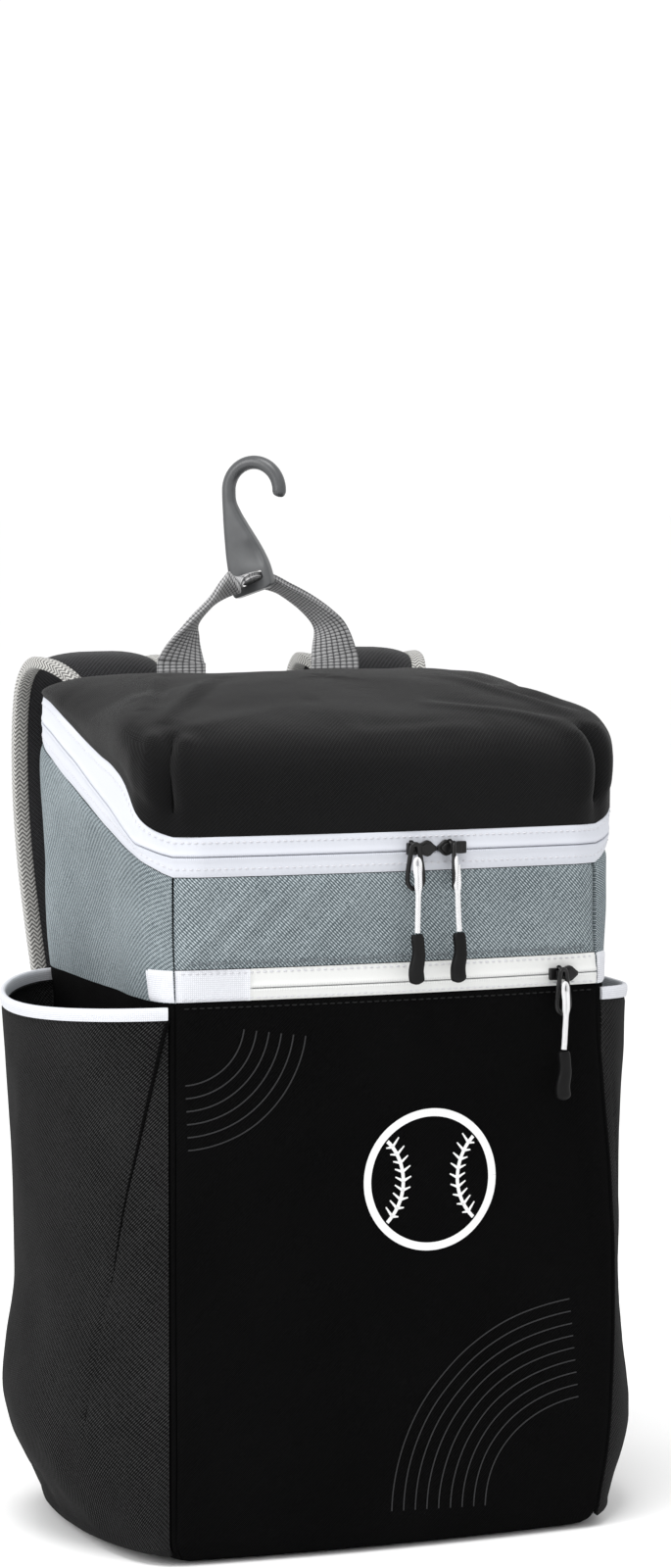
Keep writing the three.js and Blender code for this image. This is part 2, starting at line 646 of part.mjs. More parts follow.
function addLid() {
  const round = [
    ...steps(0, 1, FRONT_COLUMNS).slice(0, -1),
    ...steps(1, 2, SIDE_COLUMNS).slice(0, -1),
    ...steps(2, 3, BACK_COLUMNS).slice(0, -1),
    ...steps(3, 4, SIDE_COLUMNS).slice(0, -1),
  ];
  const rises = [0, 0.06, 0.15, 0.28, 0.44, 0.62, 0.82];
  const lift = new THREE.Vector3(0, 0, SEAM_GAP / 2);
  const outer = rises.map((rise) => round.map((turn) => lidPoint(turn, rise).add(lift)));
  const shrink = (p, rise) => {
    const flat = new THREE.Vector3(p.x, p.y, 0);
    const angle = (rise * Math.PI) / 2;
    const inward = flat.normalize().multiplyScalar(-PAD_CLOTH * Math.sqrt(Math.cos(angle)));
    return p.clone().add(inward).setZ(p.z - PAD_CLOTH * Math.sqrt(Math.sin(angle)));
  };
  const inner = outer.map((row, v) => row.map((p) => shrink(p, rises[v])));
  const seam = new THREE.Vector3(0, 0, SEAM_GAP);
  const rim = (turn) => inwards(tapePoint, turn, 1, TAPE, PANEL_STRETCH).add(seam);
  inner[0] = round.map(rim);
  const crown = new THREE.Vector3(0, 0, lidPoint(0.5, 1).z + lift.z);
  const poleOuter = round.map(() => crown.clone());
  const poleInner = round.map(() => crown.clone().add(new THREE.Vector3(0, 0, -PAD_CLOTH)));
  const geometry = closedShell([...outer, poleOuter], [...inner, poleInner], true);
  add("lid", geometry, "black");
}

function addPocket(pocket) {
  const { name, side } = pocket;
  const from = side > 0 ? 0 : 1;
  const depths = steps(from, 1 - from, 14);
  const spaces = POCKET_SECTION.length - 1;
  const topSpace = (POCKET_SECTION[spaces].height - POCKET_SECTION[spaces - 1].height) * POCKET_RIM_Z;
  const rimShare = 1 - BINDING_HEIGHT / topSpace / spaces;
  const seam = SEAM_GAP / POCKET_RIM_Z;
  const strip = (heights, thickness) => {
    const surface = (depth, height) => {
      const p = pocketPoint(pocket, depth, height);
      p.x += side * (thickness - CLOTH);
      return p;
    };
    const outer = heights.map((height) => depths.map((depth) => surface(depth, height)));
    const inner = heights.map((height) => depths.map((depth) => {
      return clearOfSide(inwards(surface, depth, height, side * thickness, POCKET_STRETCH), side);
    }));
    return closedShell(outer, inner);
  };
  const rows = POCKET_ROWS.slice(0, -1).map(({ row }) => row);
  const heights = [...rows, rimShare - seam];
  add(`${name}_pocket`, strip(heights, CLOTH), "black");
  add(`${name}_pocket_binding`, strip([rimShare + seam, 1], BINDING), "white");
}

// Moves a point out until it clears the body's side by a seam and a half.
function clearOfSide(point, side) {
  const depth = THREE.MathUtils.clamp((point.y / HALF_DEPTH + 1) / 2, 0, 1);
  const face = HALF_WIDTH + sideOut(depth, Math.max(point.z, BASE_ROUND));
  const least = face + 1.5 * SEAM_GAP - tuckedUnder(point.z) / 2;
  point.x = side * Math.max(Math.abs(point.x), least);
  return point;
}

// The middle of the haul loop's webbing at a share of its length.
function loopPlace(share) {
  const value = (column) => smoothColumn(LOOP_SECTIONS, column, share);
  return new THREE.Vector3(
    LOOP_SPREAD * value("along"),
    HALF_DEPTH + LOOP_STANDOFF + LOOP_THICK / 2 + LOOP_WEBBING * value("back"),
    LOOP_FOOT_Z + LOOP_HEIGHT * value("up"),
  );
}

function addHaulLoop() {
  const sections = steps(0, 1, LOOP_STEPS).map((share) => {
    const value = (column) => smoothColumn(LOOP_SECTIONS, column, share);
    const heading = THREE.MathUtils.degToRad(value("heading"));
    const tilt = THREE.MathUtils.degToRad(value("tilt"));
    const level = Math.cos(tilt);
    return {
      place: loopPlace(share),
      across: new THREE.Vector3(Math.cos(heading) * level, Math.sin(heading) * level, Math.sin(tilt)),
      width: LOOP_WEBBING * value("narrow"),
      thick: LOOP_THICK * value("fold"),
    };
  });
  add("haul_loop", strap(sections, 0.25), "webbing");
}

// The fence hook: a flat bow that runs down into a paddle with a slanted slot for the haul loop.
function addHook() {
  const bow = { x: HOOK_BOW_X, y: HOOK_BOW_UP };
  const tip = (HOOK_OUTER_RADIUS - HOOK_INNER_RADIUS) / 2;
  const at = (corner) => [HOOK_PADDLE[corner].x * HOOK_BOW_UP, HOOK_PADDLE[corner].up * HOOK_BOW_UP];
  const shape = new THREE.Shape();
  shape.moveTo(bow.x - HOOK_OUTER_RADIUS, bow.y);
  shape.absarc(bow.x, bow.y, HOOK_OUTER_RADIUS, Math.PI, 0, true);
  shape.absarc(bow.x + HOOK_OUTER_RADIUS - tip, bow.y - HOOK_TIP_DROP, tip, 0, Math.PI, true);
  shape.absarc(bow.x, bow.y, HOOK_INNER_RADIUS, 0, Math.PI, false);
  shape.bezierCurveTo(...at("innerHigh"), ...at("innerLow"), ...at("waist"));
  shape.bezierCurveTo(...at("swellHigh"), ...at("swellLow"), ...at("rightEnd"));
  shape.quadraticCurveTo(...at("rightCorner"), ...at("footRight"));
  shape.lineTo(...at("footLeft"));
  shape.quadraticCurveTo(...at("leftCorner"), ...at("leftEnd"));
  shape.bezierCurveTo(...at("outerLow"), ...at("outerHigh"), bow.x - HOOK_OUTER_RADIUS, bow.y);
  const slot = new THREE.Path();
  const slope = THREE.MathUtils.degToRad(HOOK_SLOT_SLOPE);
  const hole = roundedRectangle(new THREE.Shape(), HOOK_SLOT_LENGTH, HOOK_SLOT_HEIGHT, HOOK_SLOT_ROUND);
  const turned = hole.getPoints(3).map((p) => p.rotateAround(new THREE.Vector2(0, 0), slope));
  slot.setFromPoints(turned.map((p) => p.add(new THREE.Vector2(HOOK_SLOT_ASIDE, -HOOK_SLOT_DROP))));
  shape.holes.push(slot);
  const geometry = plate(shape, HOOK_THICK, HOOK_BEVEL, 7);
  geometry.rotateX(Math.PI / 2);
  const mesh = add("fence_hook", geometry, "plastic");
  mesh.rotation.z = THREE.MathUtils.degToRad(HOOK_TURN);
  const aside = new THREE.Vector3(HOOK_SLOT_ASIDE, 0, -HOOK_SLOT_DROP).applyEuler(mesh.rotation);
  mesh.position.copy(loopPlace(0.5)).sub(aside);
}

// The middle of a shoulder strap at a share of its length.
function strapPlace(side, share) {
  const value = (column) => smoothColumn(STRAP_SECTIONS, column, share);
  return new THREE.Vector3(
    side * STRAP_SPREAD * value("across") + STRAP_SWAY * value("sway"),
    HALF_DEPTH + STRAP_REACH * value("reach"),
    STRAP_TOP_Z - STRAP_DROP * value("drop"),
  );
}

function strapStrip(side, thick, edge, width) {
  const across = new THREE.Vector3(1, 0, 0);
  return steps(0, 1, STRAP_STEPS).map((share) => {
    const full = STRAP_WIDTH * smoothColumn(STRAP_SECTIONS, "wide", share);
    const place = strapPlace(side, share);
    const middle = edge === 0 ? 0 : edge * (full / 2 - STRAP_BINDING / 2);
    place.addScaledVector(across, middle);
    return { place, across, width: width(full), thick, level: true };
  });
}

function addShoulderStrap(name, side) {
  const padWidth = (full) => full - 2 * STRAP_BINDING - 2 * SEAM_GAP;
  add(`shoulder_strap_${name}`, strap(strapStrip(side, STRAP_PAD, 0, padWidth), 0.3), "black");
  for (const [edgeName, edge] of [["outer", side], ["inner", -side]]) {
    const strip = strapStrip(side, STRAP_BINDING_THICK, edge, () => STRAP_BINDING);
    add(`strap_binding_${name}_${edgeName}`, strap(strip, 0.3), "trim");
  }
  const foot = strapPlace(side, 1);
  const before = strapPlace(side, 0.97);
  const heading = foot.clone().sub(before).setX(0).normalize();
  const lockMiddle = foot.clone().addScaledVector(heading, LOCK_HEIGHT / 2 + 2 * SEAM_GAP);
  const outline = roundedRectangle(new THREE.Shape(), LOCK_WIDTH, LOCK_HEIGHT, LOCK_BAR);
  const slotHeight = (LOCK_HEIGHT - 3 * LOCK_BAR) / 2;
  for (const place of [-1, 1]) {
    const hole = roundedRectangle(new THREE.Shape(), LOCK_WIDTH - 2 * LOCK_BAR, slotHeight, 1).getPoints(1);
    const moved = hole.map((p) => p.add(new THREE.Vector2(0, (place * (slotHeight + LOCK_BAR)) / 2)));
    outline.holes.push(new THREE.Path(moved));
  }
  const lock = add(`ladder_lock_${name}`, plate(outline, LOCK_THICK, 0.6, 2), "plastic");
  const tilt = Math.atan2(-heading.z, -heading.y);
  lock.rotation.x = tilt;
  lock.position.copy(lockMiddle);
  addTail(name, side, lockMiddle.clone().addScaledVector(heading, LOCK_HEIGHT / 2 + 1.5 * SEAM_GAP), heading);
}

// The webbing from the ladder lock to the triangular tab in the bottom corner.
function addTail(name, side, top, heading) {
  const tabY = backY(TAB_X - TAB_SIZE / 2, TAB_Z + TAB_SIZE / 2) + SEAM_GAP + TAB_THICK / 2;
  const tabTop = new THREE.Vector3(side * TAB_X, tabY, TAB_Z + TAB_SIZE / 2);
  const foot = tabTop.clone().add(new THREE.Vector3(0, 0, 2 * SEAM_GAP));
  const reach = foot.distanceTo(top);
  const curve = new THREE.CubicBezierCurve3(
    top,
    top.clone().addScaledVector(heading, reach / 3),
    foot.clone().add(new THREE.Vector3(0, 0, reach / 3)),
    foot,
  );
  const sections = curve.getPoints(TAIL_STEPS).map((place) => {
    return { place, across: new THREE.Vector3(1, 0, 0), width: TAIL_WEBBING, thick: TAIL_THICK };
  });
  add(`strap_webbing_${name}`, strap(sections, 0.25), "webbing");
  const half = TAB_SIZE / 2;
  const tab = new THREE.Shape();
  tab.moveTo(-half, -half);
  tab.lineTo(half, -half);
  tab.lineTo(TAIL_WEBBING / 2, half);
  tab.lineTo(-TAIL_WEBBING / 2, half);
  tab.closePath();
  const mesh = add(`strap_tab_${name}`, plate(tab, TAB_THICK, 0), "black");
  mesh.rotation.x = Math.PI / 2;
  mesh.position.set(side * TAB_X, tabTop.y, TAB_Z);
}

// How far back the bag's back lies at a place on it.
function backY(x, z) {
  const half = HALF_WIDTH + sideOut(1, z);
  return bodyPoint(2.5 - x / (2 * half), z).y;
}

// How far forward the bag's front lies at a place across it.
function frontY(x) {
  return -HALF_DEPTH - FRONT_SWELL * (1 - (x / HALF_WIDTH) ** 2);
}

// A zip slider is a waisted block, with a narrow nose towards the side that it points to.
function sliderShape(points) {
  const row = ({ along, half }, side) => {
    return new THREE.Vector2((points * along * SLIDER_WIDTH) / 2, (side * half * SLIDER_HEIGHT) / 2);
  };
  const low = SLIDER_OUTLINE.map((place) => row(place, -1));
  const high = SLIDER_OUTLINE.map((place) => row(place, 1)).reverse();
  return new THREE.Shape([...low, ...high]);
}

// A pull ring is a long drop, narrow at the top, cut through.
function ringShape() {
  const shape = new THREE.Shape();
  const low = RING_WIDTH / 2;
  const high = low * 0.55;
  const drop = RING_LENGTH - low - high;
  shape.absarc(0, 0, high, 0, Math.PI, false);
  shape.absarc(0, -drop, low, Math.PI, 2 * Math.PI, false);
  const hole = new THREE.Path();
  hole.absarc(0, 0, high - RING_WIRE * 0.7, 0, Math.PI, false);
  hole.absarc(0, -drop, low - RING_WIRE, Math.PI, 2 * Math.PI, false);
  shape.holes.push(hole);
  return shape;
}

// A moulded cord end flares a little towards its foot.
function endShape() {
  const top = (END_WIDTH / 2) * 0.7;
  const low = END_WIDTH / 2;
  const shape = new THREE.Shape();
  shape.moveTo(-top, 0);
  shape.lineTo(-low, -END_LENGTH + low);
  shape.absarc(0, -END_LENGTH + low, low, Math.PI, 2 * Math.PI, false);
  shape.lineTo(top, 0);
  shape.closePath();
  return shape;
}

function addPull({ name, x, ring: ringX, seam, points, swing, hang }) {
  const face = frontY(Math.max(0, Math.abs(x) - SLIDER_WIDTH / 2));
  const slider = add(`${name}_zip_slider`, plate(sliderShape(points), SLIDER_THICK, 0.8, 3), "plastic");
  slider.rotation.x = Math.PI / 2;
  slider.position.set(x, face - SEAM_GAP - SLIDER_THICK / 2, seam);
  const ring = add(`${name}_pull_ring`, plate(ringShape(), RING_WIRE, 0.5, 3), "plastic");
  const ringY = face - 2 * SEAM_GAP - SLIDER_THICK - RING_WIRE / 2;
  ring.rotation.x = Math.PI / 2;
  ring.position.set(ringX, ringY, seam + RING_RISE);
  const cordY = ringY - RING_WIRE / 2 - CORD_WIDTH / 2 + PULL_STANDOFF;
  const start = new THREE.Vector3(ringX, cordY, seam - CORD_TOP_DROP);
  const route = CORD_ROUTE.map(([aside, forward, drop]) => {
    return new THREE.Vector3(start.x + swing * aside, start.y - forward, start.z - drop * hang);
  });
  add(`${name}_pull_cord`, tube(route, CORD_WIDTH), "cord");
  const end = add(`${name}_cord_end`, plate(endShape(), END_THICK, 1.4, 5), "plastic");
  const foot = route[route.length - 1];
  end.rotation.x = Math.PI / 2;
  end.position.set(foot.x, foot.y, foot.z - 2 * SEAM_GAP);
}

addFront();
addSides();
addBack();
addBase();
addLidZip();
addLid();
addPocket({ name: "bottle", side: -1, swell: BOTTLE_SWELL });
addPocket({ name: "bat", side: 1, swell: BAT_SWELL });
addHaulLoop();
addHook();
addShoulderStrap("left", -1);
addShoulderStrap("right", 1);
PULLS.forEach(addPull);

export default backpack;
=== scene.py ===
import math

import bmesh
import bpy
import numpy as np
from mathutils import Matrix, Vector, noise


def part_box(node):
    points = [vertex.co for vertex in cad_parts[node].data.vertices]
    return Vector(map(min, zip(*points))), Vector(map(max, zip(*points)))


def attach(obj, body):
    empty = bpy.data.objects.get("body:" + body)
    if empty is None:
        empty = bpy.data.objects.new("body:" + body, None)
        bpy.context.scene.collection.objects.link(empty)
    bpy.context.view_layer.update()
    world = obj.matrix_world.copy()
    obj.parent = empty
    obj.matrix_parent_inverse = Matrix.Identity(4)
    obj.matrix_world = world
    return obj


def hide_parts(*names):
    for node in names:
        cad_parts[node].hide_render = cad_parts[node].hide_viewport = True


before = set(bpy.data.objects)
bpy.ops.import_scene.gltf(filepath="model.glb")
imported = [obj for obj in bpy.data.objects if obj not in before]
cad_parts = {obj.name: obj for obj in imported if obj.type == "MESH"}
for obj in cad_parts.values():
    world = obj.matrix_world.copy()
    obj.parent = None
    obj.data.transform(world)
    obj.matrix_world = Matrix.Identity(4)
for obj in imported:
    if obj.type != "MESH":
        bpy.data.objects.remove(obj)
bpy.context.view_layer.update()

# Tables and sizes are in millimetres, as in the part's source, and meshes are in metres
MM = 0.001

# The photograph's camera
CAMERA_PLACE = (-868.15, -2267.85, 595.68)
CAMERA_YAW = 21.11
CAMERA_PITCH = 4.29
CAMERA_LENS = 99.04
CAMERA_SENSOR = 36

# The body, as in the part's source
HALF_WIDTH = 124
HALF_DEPTH = 103
FRONT_SWELL = 6
BACK_SWELL = 7
SIDE_SWELL = 18
BASE_ROUND = 14
POCKET_SEAM_Z = 306.5
POCKET_ZIP_TOP = 324
LID_ZIP_LOW = 372
LID_ZIP_TOP = 394
LID_RISE = 68
LID_TOP_Z = 476
BACK_TOP = 462
SEAM = 0.4
# Where a wall's cloth starts beside a corner seam, as a share of the wall
SEAM_SHARE = SEAM / (2 * HALF_DEPTH)
BOTTLE_SWELL = 50
BAT_SWELL = 41
POCKET_RIM_Z = 304
RIM_DROP = 5
POCKET_FLOOR_Z = 1
POCKET_END_LIFT = 5
POCKET_BELLY = 0.62
POCKET_HALF_DEPTH = HALF_DEPTH - 3

# Cloth and binding thicknesses, and the binding's height, which is less than in the part's source
CLOTH = 2.4
PAD_CLOTH = 3
BACK_CLOTH = 6
TAPE_CLOTH = 2.0
BINDING = 3
BINDING_HEIGHT = 7

# Share of the depth, and how far the side stands out there
SIDE_PLAN = ((0, 0), (0.02, 0.36), (0.06, 0.74), (0.14, 0.94), (0.3, 1), (0.55, 1), (0.8, 0.98),
             (0.92, 0.84), (0.98, 0.56), (1, 0.36))
SIDE_FULLNESS = ((0, 0.4), (0.3, 0.42), (0.62, 0.5), (0.72, 0.74), (0.82, 0.86), (0.88, 1), (1, 0.94))
ZIP_LOW = ((0, 0.02), (0.04, 0.09), (0.1, 0.15), (0.165, 0.21), (0.25, 0.29), (0.36, 0.39), (0.5, 0.53),
           (0.68, 0.69), (0.85, 0.84), (1, 0.95))
ZIP_TOP = ((0, 0.02), (0.04, 0.09), (0.1, 0.22), (0.165, 0.42), (0.25, 0.53), (0.36, 0.6), (0.5, 0.7),
           (0.68, 0.85), (0.85, 0.97), (1, 1))
# Where the zip's line lies up its tape, from the front corner to the back
ZIP_LINE = ((0, 0.5), (0.06, 0.4), (0.12, 0.3), (0.25, 0.36), (0.6, 0.48), (1, 0.5))
LID_CROWN = ((0, 0.34), (0.1, 0.26), (0.25, 0.18), (0.5, 0.02), (0.75, 0), (1, 0.05))
BACK_FILL = ((0, 0), (0.15, 1), (0.75, 1), (0.88, 0))
BOTTLE_SECTION = ((0, 0.02), (0.004, 0.26), (0.03, 0.42), (0.07, 0.56), (0.12, 0.73), (0.17, 0.88), (0.25, 1),
                  (0.34, 0.93), (0.48, 0.84), (0.72, 0.89), (1, 0.94))
BAT_SECTION = ((0, 0.02), (0.004, 0.24), (0.03, 0.4), (0.07, 0.62), (0.12, 0.88), (0.17, 1), (0.25, 0.9),
               (0.34, 0.75), (0.48, 0.62), (0.72, 0.71), (1, 0.78))


# Helpers on tables and grids
def reader(rows):
    """A smooth curve through rows of place and value, read at one place or at an array of them."""
    at = np.array([row[0] for row in rows], float)
    value = np.array([row[1] for row in rows], float)
    chord = np.diff(value) / np.diff(at)
    slope = np.concatenate([chord[:1], (chord[:-1] + chord[1:]) / 2, chord[-1:]])
    slope[1:-1][chord[:-1] * chord[1:] <= 0] = 0

    def read(x):
        x = np.clip(x, at[0], at[-1])
        i = np.clip(np.searchsorted(at, x, side="right") - 1, 0, len(at) - 2)
        width = at[i + 1] - at[i]
        t = (x - at[i]) / width
        rise = (3 * t ** 2 - 2 * t ** 3) * (value[i + 1] - value[i])
        return value[i] + rise + width * t * (1 - t) * (slope[i] * (1 - t) - slope[i + 1] * t)

    return read


side_plan = reader(SIDE_PLAN)
side_fullness = reader(SIDE_FULLNESS)
zip_low_share = reader(ZIP_LOW)
zip_top_share = reader(ZIP_TOP)
zip_line_share = reader(ZIP_LINE)
lid_crown = reader(LID_CROWN)
back_fill = reader(BACK_FILL)
pocket_out = {-1: reader(BOTTLE_SECTION), 1: reader(BAT_SECTION)}


def spread(start, end, step):
    """Even places from start to end, about one step apart."""
    return np.linspace(start, end, max(2, int(round(abs(end - start) / step)) + 1))


def soft_noise(points, size, seed=0):
    """Smooth noise between -1 and 1 over a grid of points, with bumps of about the size given."""
    flat = points.reshape(-1, 3) / size + seed * 17.3
    values = [noise.noise(Vector(p)) for p in flat]
    return np.array(values).reshape(points.shape[:-1])


def unit(vectors):
    return vectors / np.linalg.norm(vectors, axis=-1, keepdims=True)


def lengths_along(points):
    """Distance along a line of points, from zero at its start."""
    return np.concatenate([[0], np.cumsum(np.linalg.norm(np.diff(points, axis=0), axis=1))])


def hump(distance, reach):
    """1 at no distance, and 0 a few reaches away."""
    return np.exp(-(distance / reach) ** 2)


def smoothstep(x, low, high):
    t = np.clip((x - low) / (high - low), 0, 1)
    return t * t * (3 - 2 * t)


def grid_normals(grid, closed, centre):
    """Unit normals of a grid of points, pointing away from the centre."""
    if closed:
        wide = np.concatenate([grid[:, -1:], grid, grid[:, :1]], axis=1)
        along = (wide[:, 2:] - wide[:, :-2]) / 2
    else:
        along = np.gradient(grid, axis=1)
    up = np.gradient(grid, axis=0)
    normal = np.cross(along, up)
    normal /= np.maximum(np.linalg.norm(normal, axis=2, keepdims=True), 1e-9)
    away = ((grid - np.array(centre)) * normal).sum()
    return normal if away > 0 else -normal


BODY_MIDDLE = (0, 0, 235)


def pushed(grid, amount, closed=False, centre=BODY_MIDDLE):
    """The grid moved out along its normals by an amount for each point."""
    return grid + grid_normals(grid, closed, centre) * np.asarray(amount)[..., None]


# Helpers that make pieces
def link(mesh, name):
    piece = bpy.data.objects.new(name, mesh)
    bpy.context.scene.collection.objects.link(piece)
    return piece


def fixed(piece, sharp=52):
    """Applies the piece's modifiers and shades it smooth, with its sharp edges kept."""
    graph = bpy.context.evaluated_depsgraph_get()
    made = bpy.data.meshes.new_from_object(piece.evaluated_get(graph), preserve_all_data_layers=True,
                                           depsgraph=graph)
    piece.modifiers.clear()
    piece.data = made
    made.shade_smooth()
    made.set_sharp_from_angle(angle=math.radians(sharp))
    return piece


def dress(piece, material, stands_for=()):
    """Gives a piece its material and slot, and lets it ride on the body."""
    piece.data.materials.clear()
    piece.data.materials.append(material)
    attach(piece, "root")
    if stands_for:
        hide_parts(*stands_for)
    return piece


def arc_lengths(grid, axis):
    """Mean distance along a grid's rows or columns, from zero at its start."""
    steps = np.linalg.norm(np.diff(grid, axis=axis), axis=2)
    mean = steps.mean(axis=1 - axis)
    return np.concatenate([[0], np.cumsum(mean)])


def grid_piece(name, grid, closed=False, thickness=0.0, centre=BODY_MIDDLE, middle=(0.5, 0.5)):
    """A sheet through a grid of points, thickened inwards, whose UV map is in metres of cloth."""
    rows, columns = grid.shape[:2]
    last = columns if closed else columns - 1
    faces = []
    for r in range(rows - 1):
        for c in range(last):
            d = (c + 1) % columns
            faces.append((r * columns + c, r * columns + d, (r + 1) * columns + d, (r + 1) * columns + c))
    along = arc_lengths(np.concatenate([grid, grid[:, :1]], axis=1) if closed else grid, 1)
    up = arc_lengths(grid, 0)
    along -= along[-1] * middle[0]
    up -= up[-1] * middle[1]
    normal = grid_normals(grid, closed, centre)
    probe = rows // 2, columns // 3
    a, b, c = grid[probe], grid[probe[0], probe[1] + 1], grid[probe[0] + 1, probe[1]]
    first = np.cross(b - a, c - a)
    if np.dot(first, normal[probe]) < 0:
        faces = [face[::-1] for face in faces]
    mesh = bpy.data.meshes.new(name)
    mesh.from_pydata([tuple(p) for p in grid.reshape(-1, 3) * MM], [], faces)
    layer = mesh.uv_layers.new(name="cloth")
    for face in mesh.polygons:
        wraps = closed and max(v % columns for v in face.vertices) - min(
            v % columns for v in face.vertices) > 1
        for loop, vertex in zip(face.loop_indices, face.vertices):
            column = vertex % columns
            if wraps and column == 0:
                column = columns
            layer.data[loop].uv = (along[column] * MM, up[vertex // columns] * MM)
    piece = link(mesh, name)
    if thickness:
        solid = piece.modifiers.new("thickness", "SOLIDIFY")
        solid.thickness = thickness * MM
        solid.offset = -1
        solid.use_even_offset = False
    return fixed(piece)


def sections_piece(name, rings, looped=False):
    """A solid through rings of points, with its UV map in metres along and round."""
    rings = np.asarray(rings, float)
    count, around = rings.shape[:2]
    faces = []
    last = count if looped else count - 1
    for r in range(last):
        s = (r + 1) % count
        for k in range(around):
            m = (k + 1) % around
            faces.append((r * around + k, r * around + m, s * around + m, s * around + k))
    if not looped:
        faces.append(tuple(range(around))[::-1])
        faces.append(tuple((count - 1) * around + k for k in range(around)))
    mesh = bpy.data.meshes.new(name)
    mesh.from_pydata([tuple(p) for p in rings.reshape(-1, 3) * MM], [], faces)
    middles = rings.mean(axis=1)
    along = lengths_along(middles)
    total = along[-1] + np.linalg.norm(middles[0] - middles[-1])
    ring = rings[count // 2]
    girth = lengths_along(np.concatenate([ring, ring[:1]]))
    layer = mesh.uv_layers.new(name="cloth")
    for face in mesh.polygons:
        ks = [v % around for v in face.vertices]
        rs = [v // around for v in face.vertices]
        for loop, k, r in zip(face.loop_indices, ks, rs):
            place = girth[around] if k == 0 and max(ks) == around - 1 and len(ks) == 4 else girth[k]
            far = total if looped and r == 0 and max(rs) == count - 1 else along[r]
            layer.data[loop].uv = (place * MM, far * MM)
    flip_outwards(mesh)
    return fixed(link(mesh, name))


def flip_outwards(mesh):
    shape = bmesh.new()
    shape.from_mesh(mesh)
    bmesh.ops.recalc_face_normals(shape, faces=shape.faces)
    shape.to_mesh(mesh)
    shape.free()


def frames_along(path, across=None):
    """For each point of a path: the way on, a way across and a way up, all square to each other."""
    path = np.asarray(path, float)
    ahead = unit(np.gradient(path, axis=0))
    if across is None:
        way = np.array((1.0, 0, 0)) if abs(ahead[0][0]) < 0.8 else np.array((0, 1.0, 0))
        ways = []
        for step in ahead:
            way = unit(way - step * np.dot(way, step))
            ways.append(way)
        across = np.array(ways)
    else:
        across = np.asarray(across, float)
        across = unit(across - ahead * (across * ahead).sum(axis=1, keepdims=True))
    return ahead, across, np.cross(ahead, across)


def swept(name, path, section, across=None, looped=False):
    """A solid of one section swept along a path. The section is a function of the share of the way."""
    _, side, up = frames_along(path, across)
    rings = []
    for i, point in enumerate(path):
        outline = section(i / (len(path) - 1))
        rings.append([point + side[i] * a + up[i] * b for a, b in outline])
    return sections_piece(name, rings, looped=looped)


def oval(width, height, count=12, boxy=2.0):
    """Points round an oval, which turns into a rounded box as boxy grows."""
    points = []
    for k in range(count):
        angle = 2 * math.pi * k / count
        c, s = math.cos(angle), math.sin(angle)
        points.append((math.copysign(abs(c) ** (2 / boxy), c) * width / 2,
                       math.copysign(abs(s) ** (2 / boxy), s) * height / 2))
    return points


def smooth_path(points, step):
    """Points about one step apart on a smooth curve through the points given."""
    points = np.asarray(points, float)
    at = lengths_along(points)
    places = spread(0, at[-1], step)
    return np.stack([reader(list(zip(at, points[:, i])))(places) for i in range(points.shape[1])], axis=1)


def join(pieces, name):
    """Several meshes as one piece."""
    shape = bmesh.new()
    for piece in pieces:
        shape.from_mesh(piece.data)
        bpy.data.objects.remove(piece)
    mesh = bpy.data.meshes.new(name)
    shape.to_mesh(mesh)
    shape.free()
    return link(mesh, name)


def stitches(name, line, out, material, slot, length=3.0, gap=1.3, width=0.9):
    """A row of stitches along a line on the cloth: low beads of thread that dip in at both ends."""
    line = np.asarray(line, float)
    out = np.broadcast_to(np.asarray(out, float), line.shape)
    at = lengths_along(line)
    shares = np.array((0, 0.15, 0.5, 0.85, 1))
    full = np.array((0.3, 0.85, 1, 0.85, 0.3))
    sink = np.array((-0.3, 0, 0.12, 0, -0.3))
    around = 6
    angles = 2 * math.pi * np.arange(around) / around
    points, faces, places = [], [], []
    for start in np.arange(gap / 2, at[-1] - length, length + gap):
        spots = start + shares * length
        middle = np.stack([np.interp(spots, at, line[:, i]) for i in range(3)], axis=1)
        up = unit(np.stack([np.interp(spots, at, out[:, i]) for i in range(3)], axis=1))
        side = np.cross(up, unit(middle[-1] - middle[0]))
        first = len(points)
        for i in range(len(shares)):
            for k, angle in enumerate(angles):
                reach = width / 2 * full[i]
                rise = sink[i] + reach * math.sin(angle)
                points.append(middle[i] + up[i] * rise + side[i] * reach * math.cos(angle))
                places.append((k * width / around, spots[i]))
        for i in range(len(shares) - 1):
            for k in range(around):
                m = (k + 1) % around
                a, b = first + i * around, first + (i + 1) * around
                faces.append((a + k, a + m, b + m, b + k))
    mesh = bpy.data.meshes.new(name)
    mesh.from_pydata([tuple(p * MM) for p in points], [], faces)
    layer = mesh.uv_layers.new(name="cloth")
    for loop in mesh.loops:
        u, v = places[loop.vertex_index]
        layer.data[loop.index].uv = (u * MM, v * MM)
    mesh.shade_smooth()
    return dress(link(mesh, name), material)


